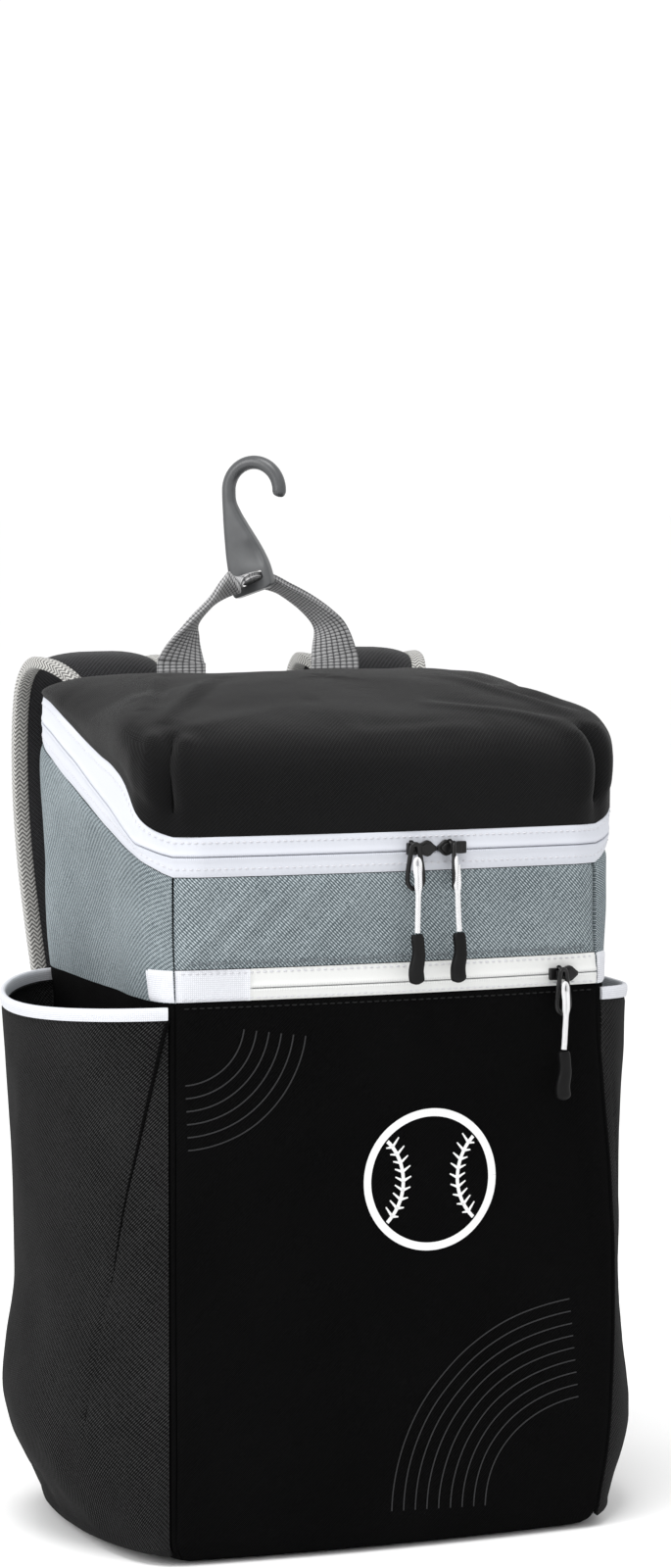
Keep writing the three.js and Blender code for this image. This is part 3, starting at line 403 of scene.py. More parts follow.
# Materials
class Shader:
    """A material and short names for the nodes that it is made of."""

    def __init__(self, name):
        self.material = bpy.data.materials.new(name)
        self.material.use_nodes = True
        self.nodes = self.material.node_tree.nodes
        self.links = self.material.node_tree.links
        self.surface = self.nodes["Principled BSDF"]

    def wire(self, value, socket):
        if hasattr(value, "is_linked"):
            self.links.new(value, socket)
        else:
            socket.default_value = value

    def math(self, operation, a, b=0.0, c=0.0):
        node = self.nodes.new("ShaderNodeMath")
        node.operation = operation
        for value, socket in zip((a, b, c), node.inputs):
            self.wire(value, socket)
        return node.outputs[0]

    def varied(self, value, grain, amount):
        """The value, raised and lowered by a noise."""
        return self.math("MULTIPLY_ADD", self.math("SUBTRACT", grain, 0.5), amount, value)

    def inverse(self, value):
        return self.math("SUBTRACT", 1.0, value)

    def cloth(self):
        """The two places on the cloth, in metres."""
        node = self.nodes.new("ShaderNodeUVMap")
        node.uv_map = "cloth"
        parts = self.nodes.new("ShaderNodeSeparateXYZ")
        self.links.new(node.outputs[0], parts.inputs[0])
        return parts.outputs[0], parts.outputs[1]

    def place(self):
        return self.nodes.new("ShaderNodeTexCoord").outputs["Object"]

    def noise(self, scale, detail=2.0, vector=None, roughness=0.5):
        node = self.nodes.new("ShaderNodeTexNoise")
        node.inputs["Scale"].default_value = scale
        node.inputs["Detail"].default_value = detail
        node.inputs["Roughness"].default_value = roughness
        self.links.new(vector or self.place(), node.inputs["Vector"])
        return node.outputs[0]

    def wave(self, value, pitch):
        """Between 0 and 1, once every pitch."""
        turned = self.math("MULTIPLY", value, 2 * math.pi / pitch)
        return self.math("MULTIPLY_ADD", self.math("SINE", turned), 0.5, 0.5)

    def band(self, value, start, end):
        """0 below the start and 1 above the end."""
        node = self.nodes.new("ShaderNodeMapRange")
        node.interpolation_type = "SMOOTHSTEP"
        self.wire(value, node.inputs["Value"])
        node.inputs["From Min"].default_value = start
        node.inputs["From Max"].default_value = end
        return node.outputs[0]

    def blend(self, share, low, high):
        node = self.nodes.new("ShaderNodeMix")
        node.data_type = "RGBA"
        self.wire(share, node.inputs[0])
        for value, socket in ((low, node.inputs[6]), (high, node.inputs[7])):
            self.wire(value if hasattr(value, "is_linked") else (*value, 1), socket)
        return node.outputs[2]

    def bump(self, height, depth, strength=1.0, under=None):
        node = self.nodes.new("ShaderNodeBump")
        node.inputs["Strength"].default_value = strength
        node.inputs["Distance"].default_value = depth
        self.links.new(height, node.inputs["Height"])
        if under:
            self.links.new(under, node.inputs["Normal"])
        return node.outputs[0]

    def finish(self, colour, roughness, normal=None, sheen=0.0, specular=0.3, coat=0.0):
        self.wire(colour if hasattr(colour, "is_linked") else (*colour, 1), self.surface.inputs["Base Color"])
        self.wire(roughness, self.surface.inputs["Roughness"])
        self.surface.inputs["Specular IOR Level"].default_value = specular
        self.surface.inputs["Sheen Weight"].default_value = sheen
        self.surface.inputs["Sheen Roughness"].default_value = 0.45
        self.surface.inputs["Coat Weight"].default_value = coat
        if normal:
            self.links.new(normal, self.surface.inputs["Normal"])
        return self.material


def twill(name, dark, light, pitch, sheen, patchy=0.25, crumple=0.0006, specular=0.08, depth=0.00022):
    """A cloth with fine slanted ribs, cut across by its threads, that varies softly from place to place."""
    s = Shader(name)
    u, v = s.cloth()
    rib = s.wave(s.math("ADD", u, v), pitch)
    thread = s.wave(s.math("SUBTRACT", u, v), pitch * 1.9)
    weave = s.math("MULTIPLY", rib, s.math("MULTIPLY_ADD", thread, 0.6, 0.4))
    uneven = s.noise(900, 3)
    tone = s.varied(s.varied(weave, uneven, 0.9), s.noise(16, 3), patchy)
    colour = s.blend(s.band(tone, 0.0, 1.0), dark, light)
    soft = s.bump(s.noise(34, 4), crumple)
    normal = s.bump(weave, depth, 0.8, soft)
    return s.finish(colour, s.math("MULTIPLY_ADD", uneven, 0.16, 0.74), normal, sheen, specular)


def basket(name, dark, light, pitch, sheen=0.15):
    """Webbing of crossed threads, with dark corners between them."""
    s = Shader(name)
    u, v = s.cloth()
    across = s.math("SINE", s.math("MULTIPLY", u, math.pi / pitch))
    along = s.math("SINE", s.math("MULTIPLY", v, math.pi / pitch))
    cross = s.math("POWER", s.math("ABSOLUTE", s.math("MULTIPLY", across, along)), 0.45)
    colour = s.blend(s.band(s.varied(cross, s.noise(1500, 2), 0.5), 0.15, 0.95), dark, light)
    normal = s.bump(cross, 0.0004, 0.9)
    return s.finish(colour, 0.82, normal, sheen, 0.25)


def herringbone(name, dark, light, pitch, width):
    """A narrow binding of slanted threads that turn back on themselves."""
    s = Shader(name)
    u, v = s.cloth()
    fold = s.math("PINGPONG", u, width)
    rib = s.wave(s.math("ADD", v, fold), pitch)
    colour = s.blend(s.band(s.varied(rib, s.noise(1200, 3), 0.9), 0.1, 0.9), dark, light)
    return s.finish(colour, 0.88, s.bump(rib, 0.00035, 0.8), 0.2, 0.2)


def zip_tape(name, white, line, grey, rib=0.0011):
    """A woven tape over a hidden zip: fine cross ribs near the line where its halves meet, and painted shade
    in the slit along that line.
    """
    s = Shader(name)
    u, v = s.cloth()
    away = s.math("ABSOLUTE", v)
    rib_height = s.math("MULTIPLY", s.wave(u, rib), s.inverse(s.band(away, 0.0021, 0.0031)))
    weave = s.math("MULTIPLY", s.wave(u, 0.0008), s.wave(v, 0.0008))
    # The dark grey line where the halves meet is painted shade in the slit between them
    gap = s.inverse(s.band(away, line * 0.55, line))
    tint = s.blend(s.math("MULTIPLY", rib_height, 0.45), white, grey)
    tint = s.blend(s.math("MULTIPLY", s.noise(22, 3), 0.22), tint, grey)
    colour = s.blend(gap, tint, (0.2, 0.2, 0.22))
    height = s.math("MULTIPLY_ADD", weave, 0.35, rib_height)
    return s.finish(colour, 0.72, s.bump(height, 0.00018, 0.7), 0.1, 0.3)


def plain_weave(name, dark, light, pitch, sheen=0.1):
    """A flat woven ribbon of one colour."""
    s = Shader(name)
    u, v = s.cloth()
    weave = s.math("MULTIPLY", s.wave(u, pitch), s.wave(v, pitch))
    tone = s.varied(s.math("MULTIPLY", weave, 0.8), s.noise(700, 3), 0.5)
    colour = s.blend(s.band(tone, -0.1, 0.9), dark, light)
    return s.finish(colour, 0.8, s.bump(weave, 0.0002, 0.7), sheen, 0.25)


def moulded(name, colour, worn, roughness, coat=0.0, grain=0.00004, specular=0.5):
    """Moulded plastic, finely grained, and a little paler where it is rubbed."""
    s = Shader(name)
    fine = s.noise(1400, 2)
    patch = s.noise(60, 4)
    tone = s.blend(s.band(patch, 0.35, 0.75), colour, worn)
    rough = s.math("MULTIPLY_ADD", patch, 0.16, roughness - 0.08)
    return s.finish(tone, rough, s.bump(fine, grain, 0.5), 0.0, specular, coat)


def braid(name, dark, light, pitch):
    """A braided cord: threads that wind both ways round it."""
    s = Shader(name)
    u, v = s.cloth()
    one = s.wave(s.math("ADD", u, v), pitch)
    other = s.wave(s.math("SUBTRACT", v, u), pitch)
    weave = s.math("MAXIMUM", one, other)
    colour = s.blend(s.band(weave, 0.3, 1.0), dark, light)
    return s.finish(colour, 0.75, s.bump(weave, 0.00025, 0.8), 0.2, 0.3)


def mesh_pad(name, dark, light, pitch):
    """An open spacer mesh with small round holes in offset rows."""
    s = Shader(name)
    u, v = s.cloth()
    rows = s.math("MULTIPLY", s.wave(s.math("ADD", u, v), pitch), s.wave(s.math("SUBTRACT", u, v), pitch))
    hole = s.band(rows, 0.35, 0.7)
    colour = s.blend(hole, light, dark)
    soft = s.bump(s.noise(40, 3), 0.0005)
    return s.finish(colour, 0.85, s.bump(s.inverse(hole), 0.0005, 0.8, soft), 0.15, 0.2)


BLACK = twill("black_twill", (0.0005, 0.0005, 0.0005), (0.006, 0.006, 0.0062), 0.00105, 0.0, 0.25, 0.0006,
              0.02)
POCKET_BLACK = twill("pocket_twill", (0.0008, 0.0008, 0.0008), (0.038, 0.038, 0.0385), 0.0017, 0.0, 0.4,
                     0.0008, 0.05, 0.0004)
LID_BLACK = twill("lid_twill", (0.0008, 0.0008, 0.0009), (0.009, 0.009, 0.0095), 0.00125, 0.09, 0.25, 0.0008,
                  0.08)
STRAP_BLACK = twill("strap_twill", (0.003, 0.003, 0.0034), (0.036, 0.036, 0.039), 0.0014, 0.1, 0.3, 0.0006,
                    0.12)
GREY = twill("grey_twill", (0.05, 0.066, 0.074), (0.42, 0.475, 0.50), 0.0019, 0.0, 0.35, 0.0004, 0.15, 0.0004)
LID_TAPE = zip_tape("lid_zip_tape_weave", (0.54, 0.555, 0.60), 0.00042, (0.40, 0.42, 0.48))
FRONT_TAPE = zip_tape("pocket_zip_tape_weave", (0.64, 0.645, 0.635), 0.0004, (0.50, 0.51, 0.505), 0.0014)
WHITE_BINDING = plain_weave("rim_binding_weave", (0.50, 0.51, 0.545), (0.70, 0.71, 0.74), 0.0011)
WEBBING = basket("grey_webbing_weave", (0.06, 0.06, 0.063), (0.40, 0.40, 0.405), 0.0019)
BLACK_WEBBING = basket("black_webbing_weave", (0.004, 0.004, 0.0045), (0.03, 0.03, 0.032), 0.0016)
TRIM = herringbone("strap_binding_weave", (0.11, 0.108, 0.104), (0.50, 0.495, 0.475), 0.0026, 0.0026)
HOOK = moulded("hook_plastic", (0.05, 0.052, 0.055), (0.072, 0.075, 0.078), 0.34)
LOCK = moulded("lock_plastic", (0.012, 0.012, 0.013), (0.02, 0.02, 0.021), 0.4)
MOULDING = moulded("pull_plastic", (0.002, 0.002, 0.0022), (0.005, 0.005, 0.0052), 0.3, 0.0, 0.00004, 0.3)
RUBBER = moulded("cord_end_rubber", (0.002, 0.002, 0.0022), (0.005, 0.005, 0.0052), 0.5, 0.0, 0.00004, 0.15)
CORD = braid("white_cord_braid", (0.42, 0.42, 0.43), (0.78, 0.78, 0.79), 0.0011)
BLACK_THREAD = plain_weave("black_thread", (0.002, 0.002, 0.0022), (0.010, 0.010, 0.0105), 0.0005, 0.0)
BAND_THREAD = plain_weave("band_thread", (0.10, 0.115, 0.125), (0.22, 0.25, 0.27), 0.0005, 0.0)
WHITE_THREAD = plain_weave("white_thread", (0.5, 0.5, 0.53), (0.72, 0.72, 0.75), 0.0005)
BACK_MESH = mesh_pad("back_spacer_mesh", (0.0025, 0.0025, 0.003), (0.02, 0.02, 0.022), 0.0036)
TONAL_INK = plain_weave("tonal_ink", (0.014, 0.014, 0.015), (0.036, 0.036, 0.038), 0.0009, 0.0)
WHITE_INK = plain_weave("white_ink", (0.70, 0.70, 0.70), (0.80, 0.80, 0.80), 0.0009, 0.0)


# Camera
def add_camera():
    camera = bpy.data.objects.new("camera", bpy.data.cameras.new("camera"))
    bpy.context.scene.collection.objects.link(camera)
    camera.location = Vector(CAMERA_PLACE) * MM
    camera.rotation_euler = (math.radians(90 - CAMERA_PITCH), 0, math.radians(-CAMERA_YAW))
    camera.data.lens = CAMERA_LENS
    camera.data.sensor_width = CAMERA_SENSOR
    camera.data.clip_start = 0.05
    camera.data.clip_end = 60
    bpy.context.scene.camera = camera


add_camera()


# Zip pulls: slider, ring, cord and cord end
# Name, how far the cord's end swings aside and hangs down, which way the slider points, ring turn
PULLS = (("lid_left", -0.5, 36, 1, 0), ("lid_right", 1.4, 36, -1, 68), ("pocket", -1.4, 32, 1, 18))
CORD_DIAMETER = 3.0
RING_WIRE = 2.8
LOOP_STRAND = 2.1
LOOP_LENGTH = 14
# A cord's route below its ring, as in the part's source: share of its swing, forward, share of its hang
CORD_ROUTE = ((0, 0, 0), (0.02, 0.5, 0.075), (0.06, 0.9, 0.15), (0.1, 1.1, 0.225), (0.15, 1.2, 0.3),
              (0.21, 1.2, 0.375), (0.28, 1.2, 0.45), (0.35, 1.1, 0.525), (0.43, 1.1, 0.6),
              (0.52, 1, 0.675), (0.61, 1, 0.75), (0.7, 1, 0.825), (0.8, 1, 0.9), (0.9, 1, 0.95), (1, 1, 1))


def middle_of(node):
    low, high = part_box(node)
    return np.array((low + high) / 2) / MM


def cord_route(name, swing, hang):
    low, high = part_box(f"{name}_pull_cord")
    ring = middle_of(f"{name}_pull_ring")
    start = np.array((ring[0], low.y / MM + 1.2 + CORD_DIAMETER / 2, high.z / MM - 0.2))
    return [start + np.array((swing * aside, -forward, -hang * drop)) for aside, forward, drop in CORD_ROUTE]


def add_cord(name, swing, hang):
    route = cord_route(name, swing, hang)
    path = smooth_path(route, 1.0)

    def doubled(share):
        apart = 1 - smoothstep(share, 0.3, 0.42)
        width = CORD_DIAMETER * (1 + 0.45 * apart)
        points = []
        for a, b in oval(width, CORD_DIAMETER, 32):
            nip = 1 - (0.16 + 0.6 * apart) * hump(a / width, 0.14)
            points.append((a, b * nip * 0.94))
        return points

    piece = swept(f"{name}_cord", path, doubled)
    dress(piece, CORD, (f"{name}_pull_cord",))
    return piece, route


def add_cord_end(name):
    """A rubbery end with flat cheeks that swells a little towards its foot."""
    low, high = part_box(f"{name}_cord_end")
    top = Vector(((low.x + high.x) / 2, (low.y + high.y) / 2, high.z)) / MM
    length = (high.z - low.z) / MM
    width = (high.x - low.x) / MM
    depth = (high.y - low.y) / MM
    swell = reader(((0, 0.66), (0.05, 0.76), (0.3, 0.78), (0.7, 0.92), (0.88, 0.96), (0.96, 0.8), (1, 0.3)))
    lean = reader(((0, 0), (0.4, 0.9), (0.75, -0.5), (1, 0.2)))
    path = [np.array((top.x + lean(t), top.y, top.z - length * t)) for t in np.linspace(0, 1, 30)]

    def section(t):
        return oval(width * swell(t), depth * min(1.0, swell(t) + 0.12), 24, 2.6)

    piece = swept(f"{name}_end", path, section, across=[(1, 0, 0)] * 30)
    dress(piece, RUBBER, (f"{name}_cord_end",))
    return piece


def add_ring(name, turn):
    """A drop-shaped ring of flattened wire, narrow where it passes through the slider's bridge."""
    low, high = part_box(f"{name}_pull_ring")
    middle = (low + high) / 2 / MM
    wide = (high.x - low.x) / MM / 2 - RING_WIRE / 2
    narrow = wide * 0.5
    top = high.z / MM - narrow - RING_WIRE / 2
    foot = low.z / MM + wide + RING_WIRE / 2
    path = [(narrow * math.cos(a), top + narrow * math.sin(a)) for a in np.linspace(0, math.pi, 14)]
    path += [(wide * math.cos(a), foot + wide * math.sin(a)) for a in np.linspace(math.pi, 2 * math.pi, 22)]
    tilt = math.radians(turn)
    line = [np.array((middle.x + x * math.cos(tilt), middle.y + x * math.sin(tilt), z)) for x, z in path]
    closed = smooth_path(line + [line[0]], 1.0)[:-1]
    out = np.array((-math.sin(tilt), math.cos(tilt), 0))
    side = np.cross(unit(np.roll(closed, -1, axis=0) - np.roll(closed, 1, axis=0)), out)
    rings = [[p + side[i] * a + out * b for a, b in oval(RING_WIRE, RING_WIRE * 0.85)]
             for i, p in enumerate(closed)]
    piece = sections_piece(f"{name}_ring", rings, looped=True)
    dress(piece, MOULDING, (f"{name}_pull_ring",))


def add_loop(name, route, turn):
    """The cord's upper loop, which hangs over the foot of the ring in two strands."""
    start = np.array(route[1])
    tilt = math.radians(turn)
    side = np.array((math.cos(tilt), math.sin(tilt), 0))
    rows = ((0, 0, -0.5), (0.8, 0.5, 3), (1.5, 0.9, 7), (1.6, 1.2, 10.5), (1, 1.8, 13.2), (0, 2.1, 14),
            (-1, 1.8, 13.2), (-1.6, 1.2, 10.5), (-1.5, 0.9, 7), (-0.8, 0.5, 3), (0, 0, -0.5))
    line = [start + side * x + np.array((0, y * 0.6, z - LOOP_LENGTH / 2)) for x, y, z in rows]
    piece = swept(f"{name}_cord_loop", smooth_path(line, 0.8), lambda _: oval(LOOP_STRAND, LOOP_STRAND))
    dress(piece, CORD)
    return piece


def plate(name, outline, thickness, bevel, place):
    """A moulded plate in the plane of the front, with rounded edges."""
    shape = bmesh.new()
    verts = [shape.verts.new((x * MM, 0, z * MM)) for x, z in outline]
    face = shape.faces.new(verts)
    grown = bmesh.ops.extrude_face_region(shape, geom=[face])["geom"]
    moved = [v for v in grown if isinstance(v, bmesh.types.BMVert)]
    bmesh.ops.translate(shape, verts=moved, vec=(0, thickness * MM, 0))
    bmesh.ops.recalc_face_normals(shape, faces=shape.faces)
    sharp = [e for e in shape.edges if e.calc_face_angle(0) > 1.2]
    bmesh.ops.bevel(shape, geom=sharp, offset=bevel * MM, segments=3, profile=0.6, affect="EDGES",
                    clamp_overlap=True)
    bmesh.ops.translate(shape, verts=shape.verts, vec=Vector(place) * MM - Vector((0, thickness * MM / 2, 0)))
    mesh = bpy.data.meshes.new(name)
    shape.to_mesh(mesh)
    shape.free()
    mesh.uv_layers.new(name="cloth")
    return fixed(link(mesh, name), 40)


def add_slider(name, points, ring_x):
    """A slider: a squared tail, a waist and a round head with a blunt nose, and a bridge for the ring."""
    low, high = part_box(f"{name}_zip_slider")
    middle = (low + high) / 2 / MM
    half = (high.x - low.x) / MM / 2
    tall = (high.z - low.z) / MM / 2
    rows = ((-1, 0.62), (-0.95, 0.72), (-0.42, 0.74), (-0.2, 0.62), (0.0, 0.66), (0.2, 0.88), (0.4, 0.97),
            (0.58, 0.86), (0.8, 0.5), (0.93, 0.3), (1, 0.26))
    upper = [(points * a * half, b * tall) for a, b in rows]
    lower = [(x, -z) for x, z in reversed(upper)]
    body = plate(f"{name}_slider_body", upper + lower, 2.6, 0.8, (middle.x, middle.y + 1.2, middle.z))
    raised = [(x * 0.72 + points * 0.9, z * 0.62) for x, z in upper + lower]
    crown = plate(f"{name}_slider_crown", raised, 1.8, 0.7, (middle.x, middle.y - 0.8, middle.z))
    bridge_rows = ((-3.4, 0), (-2.2, -2.1), (0, -2.9), (2.2, -2.1), (3.4, 0))
    line = [np.array((ring_x + x * 0.2, middle.y + 0.6 + y, middle.z + 0.8 - x)) for x, y in bridge_rows]
    line = smooth_path(line, 0.6)
    bridge = swept(f"{name}_slider_bridge", line, lambda _: oval(2.6, 1.5, boxy=2.6),
                   across=np.tile((1.0, 0, 0), (len(line), 1)))
    piece = fixed(join([body, crown, bridge], f"{name}_slider"), 40)
    dress(piece, MOULDING, (f"{name}_zip_slider",))


def add_pull(name, swing, hang, points, turn):
    cord, route = add_cord(name, swing, hang)
    end = add_cord_end(name)
    add_ring(name, turn)
    loop = add_loop(name, route, turn)
    add_slider(name, points, route[0][0])


for pull in PULLS:
    add_pull(*pull)


# The body's surfaces
def tucked_under(z):
    lift = np.clip(z, 0, BASE_ROUND)
    return BASE_ROUND - np.sqrt(BASE_ROUND ** 2 - (BASE_ROUND - lift) ** 2)


def side_out(depth, z):
    return SIDE_SWELL * side_fullness(z / BACK_TOP) * side_plan(depth)


# Above the front pocket the front corners are soft: the cloth lies back there by up to this much
CORNER_SOFT = 3.2
CORNER_RUN = 16
CORNER_BEYOND = 10
CORNER_DEPTH = 0.14


def corner_back(from_corner):
    """How much of its softness a front corner has at a distance along the front, positive past the corner."""
    return 2 * smoothstep(from_corner, -CORNER_RUN, CORNER_BEYOND)


def body(turn, z):
    """The body's outer surface. The turn runs from 0 to 4: front, right side, back, left side."""
    turn, z = np.broadcast_arrays(np.asarray(turn, float), np.asarray(z, float))
    turn = np.mod(turn, 4)
    part = np.minimum(np.floor(turn), 3)
    share = turn - part
    under = tucked_under(z)
    swell = 1 - (2 * share - 1) ** 2
    back_x = HALF_WIDTH + side_out(1.0, z) - under
    depth = np.where(part == 1, share, 1 - share)
    side_x = HALF_WIDTH + side_out(depth, z) - under
    x = np.select([part == 0, part == 1, part == 2], [(2 * share - 1) * (HALF_WIDTH - under), side_x,
                                                      (1 - 2 * share) * back_x], -side_x)
    back_y = HALF_DEPTH + BACK_SWELL * swell ** 2 * back_fill(z / BACK_TOP) - under
    soft = CORNER_SOFT * smoothstep(z, POCKET_SEAM_Z - 6, POCKET_ZIP_TOP + 20)
    front_y = -HALF_DEPTH - FRONT_SWELL * swell + under + soft * corner_back(np.abs(x) - HALF_WIDTH)
    side_y = (2 * depth - 1) * (HALF_DEPTH - under)
    side_y = side_y + soft * corner_back(0.0) * (1 - smoothstep(depth, 0, CORNER_DEPTH))
    y = np.select([part == 0, part == 2], [front_y, back_y], side_y)
    return np.stack([x, y, z], axis=-1)


def depth_of(turn):
    t = np.mod(turn, 4)
    return np.select([t < 1, t < 2, t < 3], [0 * t, t - 1, 0 * t + 1], 4 - t)


def zip_top(turn):
    return LID_ZIP_TOP + LID_RISE * zip_top_share(depth_of(turn))


def zip_low(turn):
    return LID_ZIP_LOW + LID_RISE * zip_low_share(depth_of(turn))


def seam_dip(to_edge, depth=1.5, reach=2.2):
    """How far cloth dips at a seam, and puckers a little beside it."""
    return -depth * hump(to_edge, reach)


def panel(turns, low, top, step):
    """A grid on the body between two heights, each a number or a rule by turn, and its edge distances."""
    low = low(turns) if callable(low) else np.full_like(turns, low)
    top = top(turns) if callable(top) else np.full_like(turns, top)
    low = low + np.where(low > 0, SEAM / 2, 0)
    top = top - SEAM / 2
    rows = max(4, int(round((top - low).max() / step)))
    shares = np.linspace(0, 1, rows + 1)
    if low.max() == 0:
        shares = np.unique(np.concatenate([shares, (0.002, 0.006, 0.012, 0.02, 0.03, 0.045)]))
    z = low[None, :] + shares[:, None] * (top - low)[None, :]
    grid = body(turns[None, :], z)
    return grid, z - low[None, :], top[None, :] - z


def fold(grid, start, end, width, height, axes=(0, 2)):
    """A soft fold along a line in two of the axes, which fades at both ends."""
    a, b = np.array(start, float), np.array(end, float)
    flat = grid[..., list(axes)]
    along = b - a
    length = np.linalg.norm(along)
    along = along / length
    share = ((flat - a) @ along) / length
    off = flat[..., 0] * along[1] - flat[..., 1] * along[0] - (a[0] * along[1] - a[1] * along[0])
    fade = np.clip(share, 0, 1) * np.clip(1 - share, 0, 1) * 4
    fade = np.where((share > 0) & (share < 1), fade ** 0.6, 0)
    return height * hump(off, width) * fade


FRONT_TURNS = np.linspace(SEAM_SHARE, 1 - SEAM_SHARE, 110)


def front_relief(grid, below_top):
    """The front pocket's soft unevenness, with puckers below its zip and beside its seams."""
    x, z = grid[..., 0], grid[..., 2]
    to_side = HALF_WIDTH - np.abs(x)
    out = 1.5 * soft_noise(grid, 70, 1) + 0.5 * soft_noise(grid, 24, 2)
    out += seam_dip(to_side) + seam_dip(below_top, 1.2)
    out += 0.5 * np.sin(x / 3.4) * hump(below_top - 4, 7) * soft_noise(grid, 30, 4)
    out += fold(grid, (100, 290), (118, 120), 4, -1.6) + fold(grid, (108, 250), (92, 150), 6, 1.0)
    out += fold(grid, (-112, 70), (-60, 24), 7, 1.2) + fold(grid, (70, 26), (118, 70), 7, 1.2)
    return out * np.clip(z / 20, 0, 1)


# How far the front pocket's right edge bows out over the bat pocket, by height
FRONT_BOW = ((0, 0), (15, 1.5), (40, 6.5), (80, 10), (130, 11), (175, 10), (215, 7), (250, 3), (290, 0),
             (306, 0))
front_bow = reader(FRONT_BOW)
BOW_START = 55


def bowed(grid):
    """Front pocket places, drawn aside where the right edge bows out."""
    x, z = grid[..., 0], grid[..., 2]
    share = np.clip((x - BOW_START) / (HALF_WIDTH - BOW_START), 0, 1) ** 1.5
    moved = grid.copy()
    moved[..., 0] += front_bow(z) * share
    moved[..., 1] += 0.12 * front_bow(z) * share ** 4
    return moved


def add_front_panel():
    grid, _, below = panel(FRONT_TURNS, 0, POCKET_SEAM_Z, 2.4)
    relief = front_relief(grid, below)
    grid = pushed(bowed(grid), relief)
    piece = grid_piece("front_pocket_cloth", grid, thickness=PAD_CLOTH)
    dress(piece, BLACK, ("front_panel",))
    x = np.linspace(-HALF_WIDTH + 4, HALF_WIDTH - 4, 160)
    line = front_cloth(x, POCKET_SEAM_Z - 3.2, 0.1)
    stitches("front_zip_stitching", line, (0, -1, 0), BLACK_THREAD, "black_cloth")
    for side, word in ((-1, "left"), (1, "right")):
        add_corner_seam(word, side)


def add_corner_seam(word, side):
    """The folded seam that stands out a little along a front corner of the pocket."""
    z = spread(9, POCKET_SEAM_Z - 1.5, 3)
    edge = front_cloth(side * (HALF_WIDTH - tucked_under(z) - 0.4), z, -0.6)
    edge[:, 0] += side * 0.9
    edge[:, 1] += 1.6
    piece = swept(f"corner_seam_{word}", edge, lambda _: oval(3.2, 4.2, 12, 2.4))
    dress(piece, BLACK)


def front_cloth(x, z, lift=0.0):
    """Points on the front pocket's cloth, with its relief, at places across and up."""
    x, z = np.broadcast_arrays(np.asarray(x, float), np.asarray(z, float))
    turn = (x / (HALF_WIDTH - tucked_under(z)) + 1) / 2
    grid = body(turn, z)
    relief = front_relief(grid, POCKET_SEAM_Z - z)
    return bowed(grid) + np.array((0, -1, 0)) * (relief + lift)[..., None]


# Prints on the front pocket: a plain baseball and sets of thin arcs
PRINT_LIFT = 0.35
BALL_PLACE = (21, 204)
BALL_RADIUS = 37
BALL_LINE = 4.4
BALL_SEAM_RADIUS = 31
BALL_SEAM_AWAY = 47
# Half the angles over which a seam and its stitches run, and a stitch's reach across and up
BALL_SEAM_ANGLE = 46
STITCH_ANGLE = 38
STITCH_REACH = 4.6
STITCH_RISE = 2.4
STITCH_WIDTHS = np.linspace(1.7, 0.7, 5)
ARC_LINE = 0.8


def add_print(name, x, z, width, material):
    """A printed line along places across and up, of one width or of a width for each place."""
    flat = np.stack([np.asarray(x, float), np.asarray(z, float)], axis=1)
    ahead = unit(np.gradient(flat, axis=0))
    half = np.broadcast_to(np.asarray(width, float) / 2, len(flat))
    side = np.stack([-ahead[:, 1], ahead[:, 0]], axis=1) * half[:, None]
    places = np.stack([flat - side, flat, flat + side])
    piece = grid_piece(name, front_cloth(places[..., 0], places[..., 1], PRINT_LIFT))
    return dress(piece, material)


def arc(place, radius, start, end, step=2.0):
    count = max(6, int(radius * math.radians(abs(end - start)) / step))
    angles = np.radians(np.linspace(start, end, count))
    return place[0] + radius * np.cos(angles), place[1] + radius * np.sin(angles)


def add_ball():
    add_print("ball_outline", *arc(BALL_PLACE, BALL_RADIUS, 0, 360, 1.5), BALL_LINE, WHITE_INK)
    for side, word in ((-1, "left"), (1, "right")):
        middle = (BALL_PLACE[0] + side * BALL_SEAM_AWAY, BALL_PLACE[1])
        facing = 180 if side > 0 else 0
        seam = arc(middle, BALL_SEAM_RADIUS, facing - BALL_SEAM_ANGLE, facing + BALL_SEAM_ANGLE, 1.5)
        add_print(f"ball_seam_{word}", *seam, 2.0, WHITE_INK)
        for i, angle in enumerate(np.radians(np.linspace(facing - STITCH_ANGLE, facing + STITCH_ANGLE, 9))):
            way = np.array((math.cos(angle), math.sin(angle)))
            tip = np.array(middle) + way * BALL_SEAM_RADIUS
            for end, out in (("in", -1), ("out", 1)):
                far = tip + way * out * STITCH_REACH + np.array((0, STITCH_RISE))
                x, z = np.linspace(tip, far, len(STITCH_WIDTHS)).T
                add_print(f"ball_stitch_{word}_{i}_{end}", x, z, STITCH_WIDTHS, WHITE_INK)


# Sets of arcs: middle across and up, first radius, gap, count, start and end angle
ARC_SETS = ((112, 18, 58, 7, 9, 96, 178), (-120, 296, 34, 7, 6, 272, 352))


def add_arcs():
    for s, (x, z, first, gap, count, start, end) in enumerate(ARC_SETS):
        for i in range(count):
            add_print(f"tonal_arc_{s}_{i}", *arc((x, z), first + gap * i, start, end), ARC_LINE, TONAL_INK)


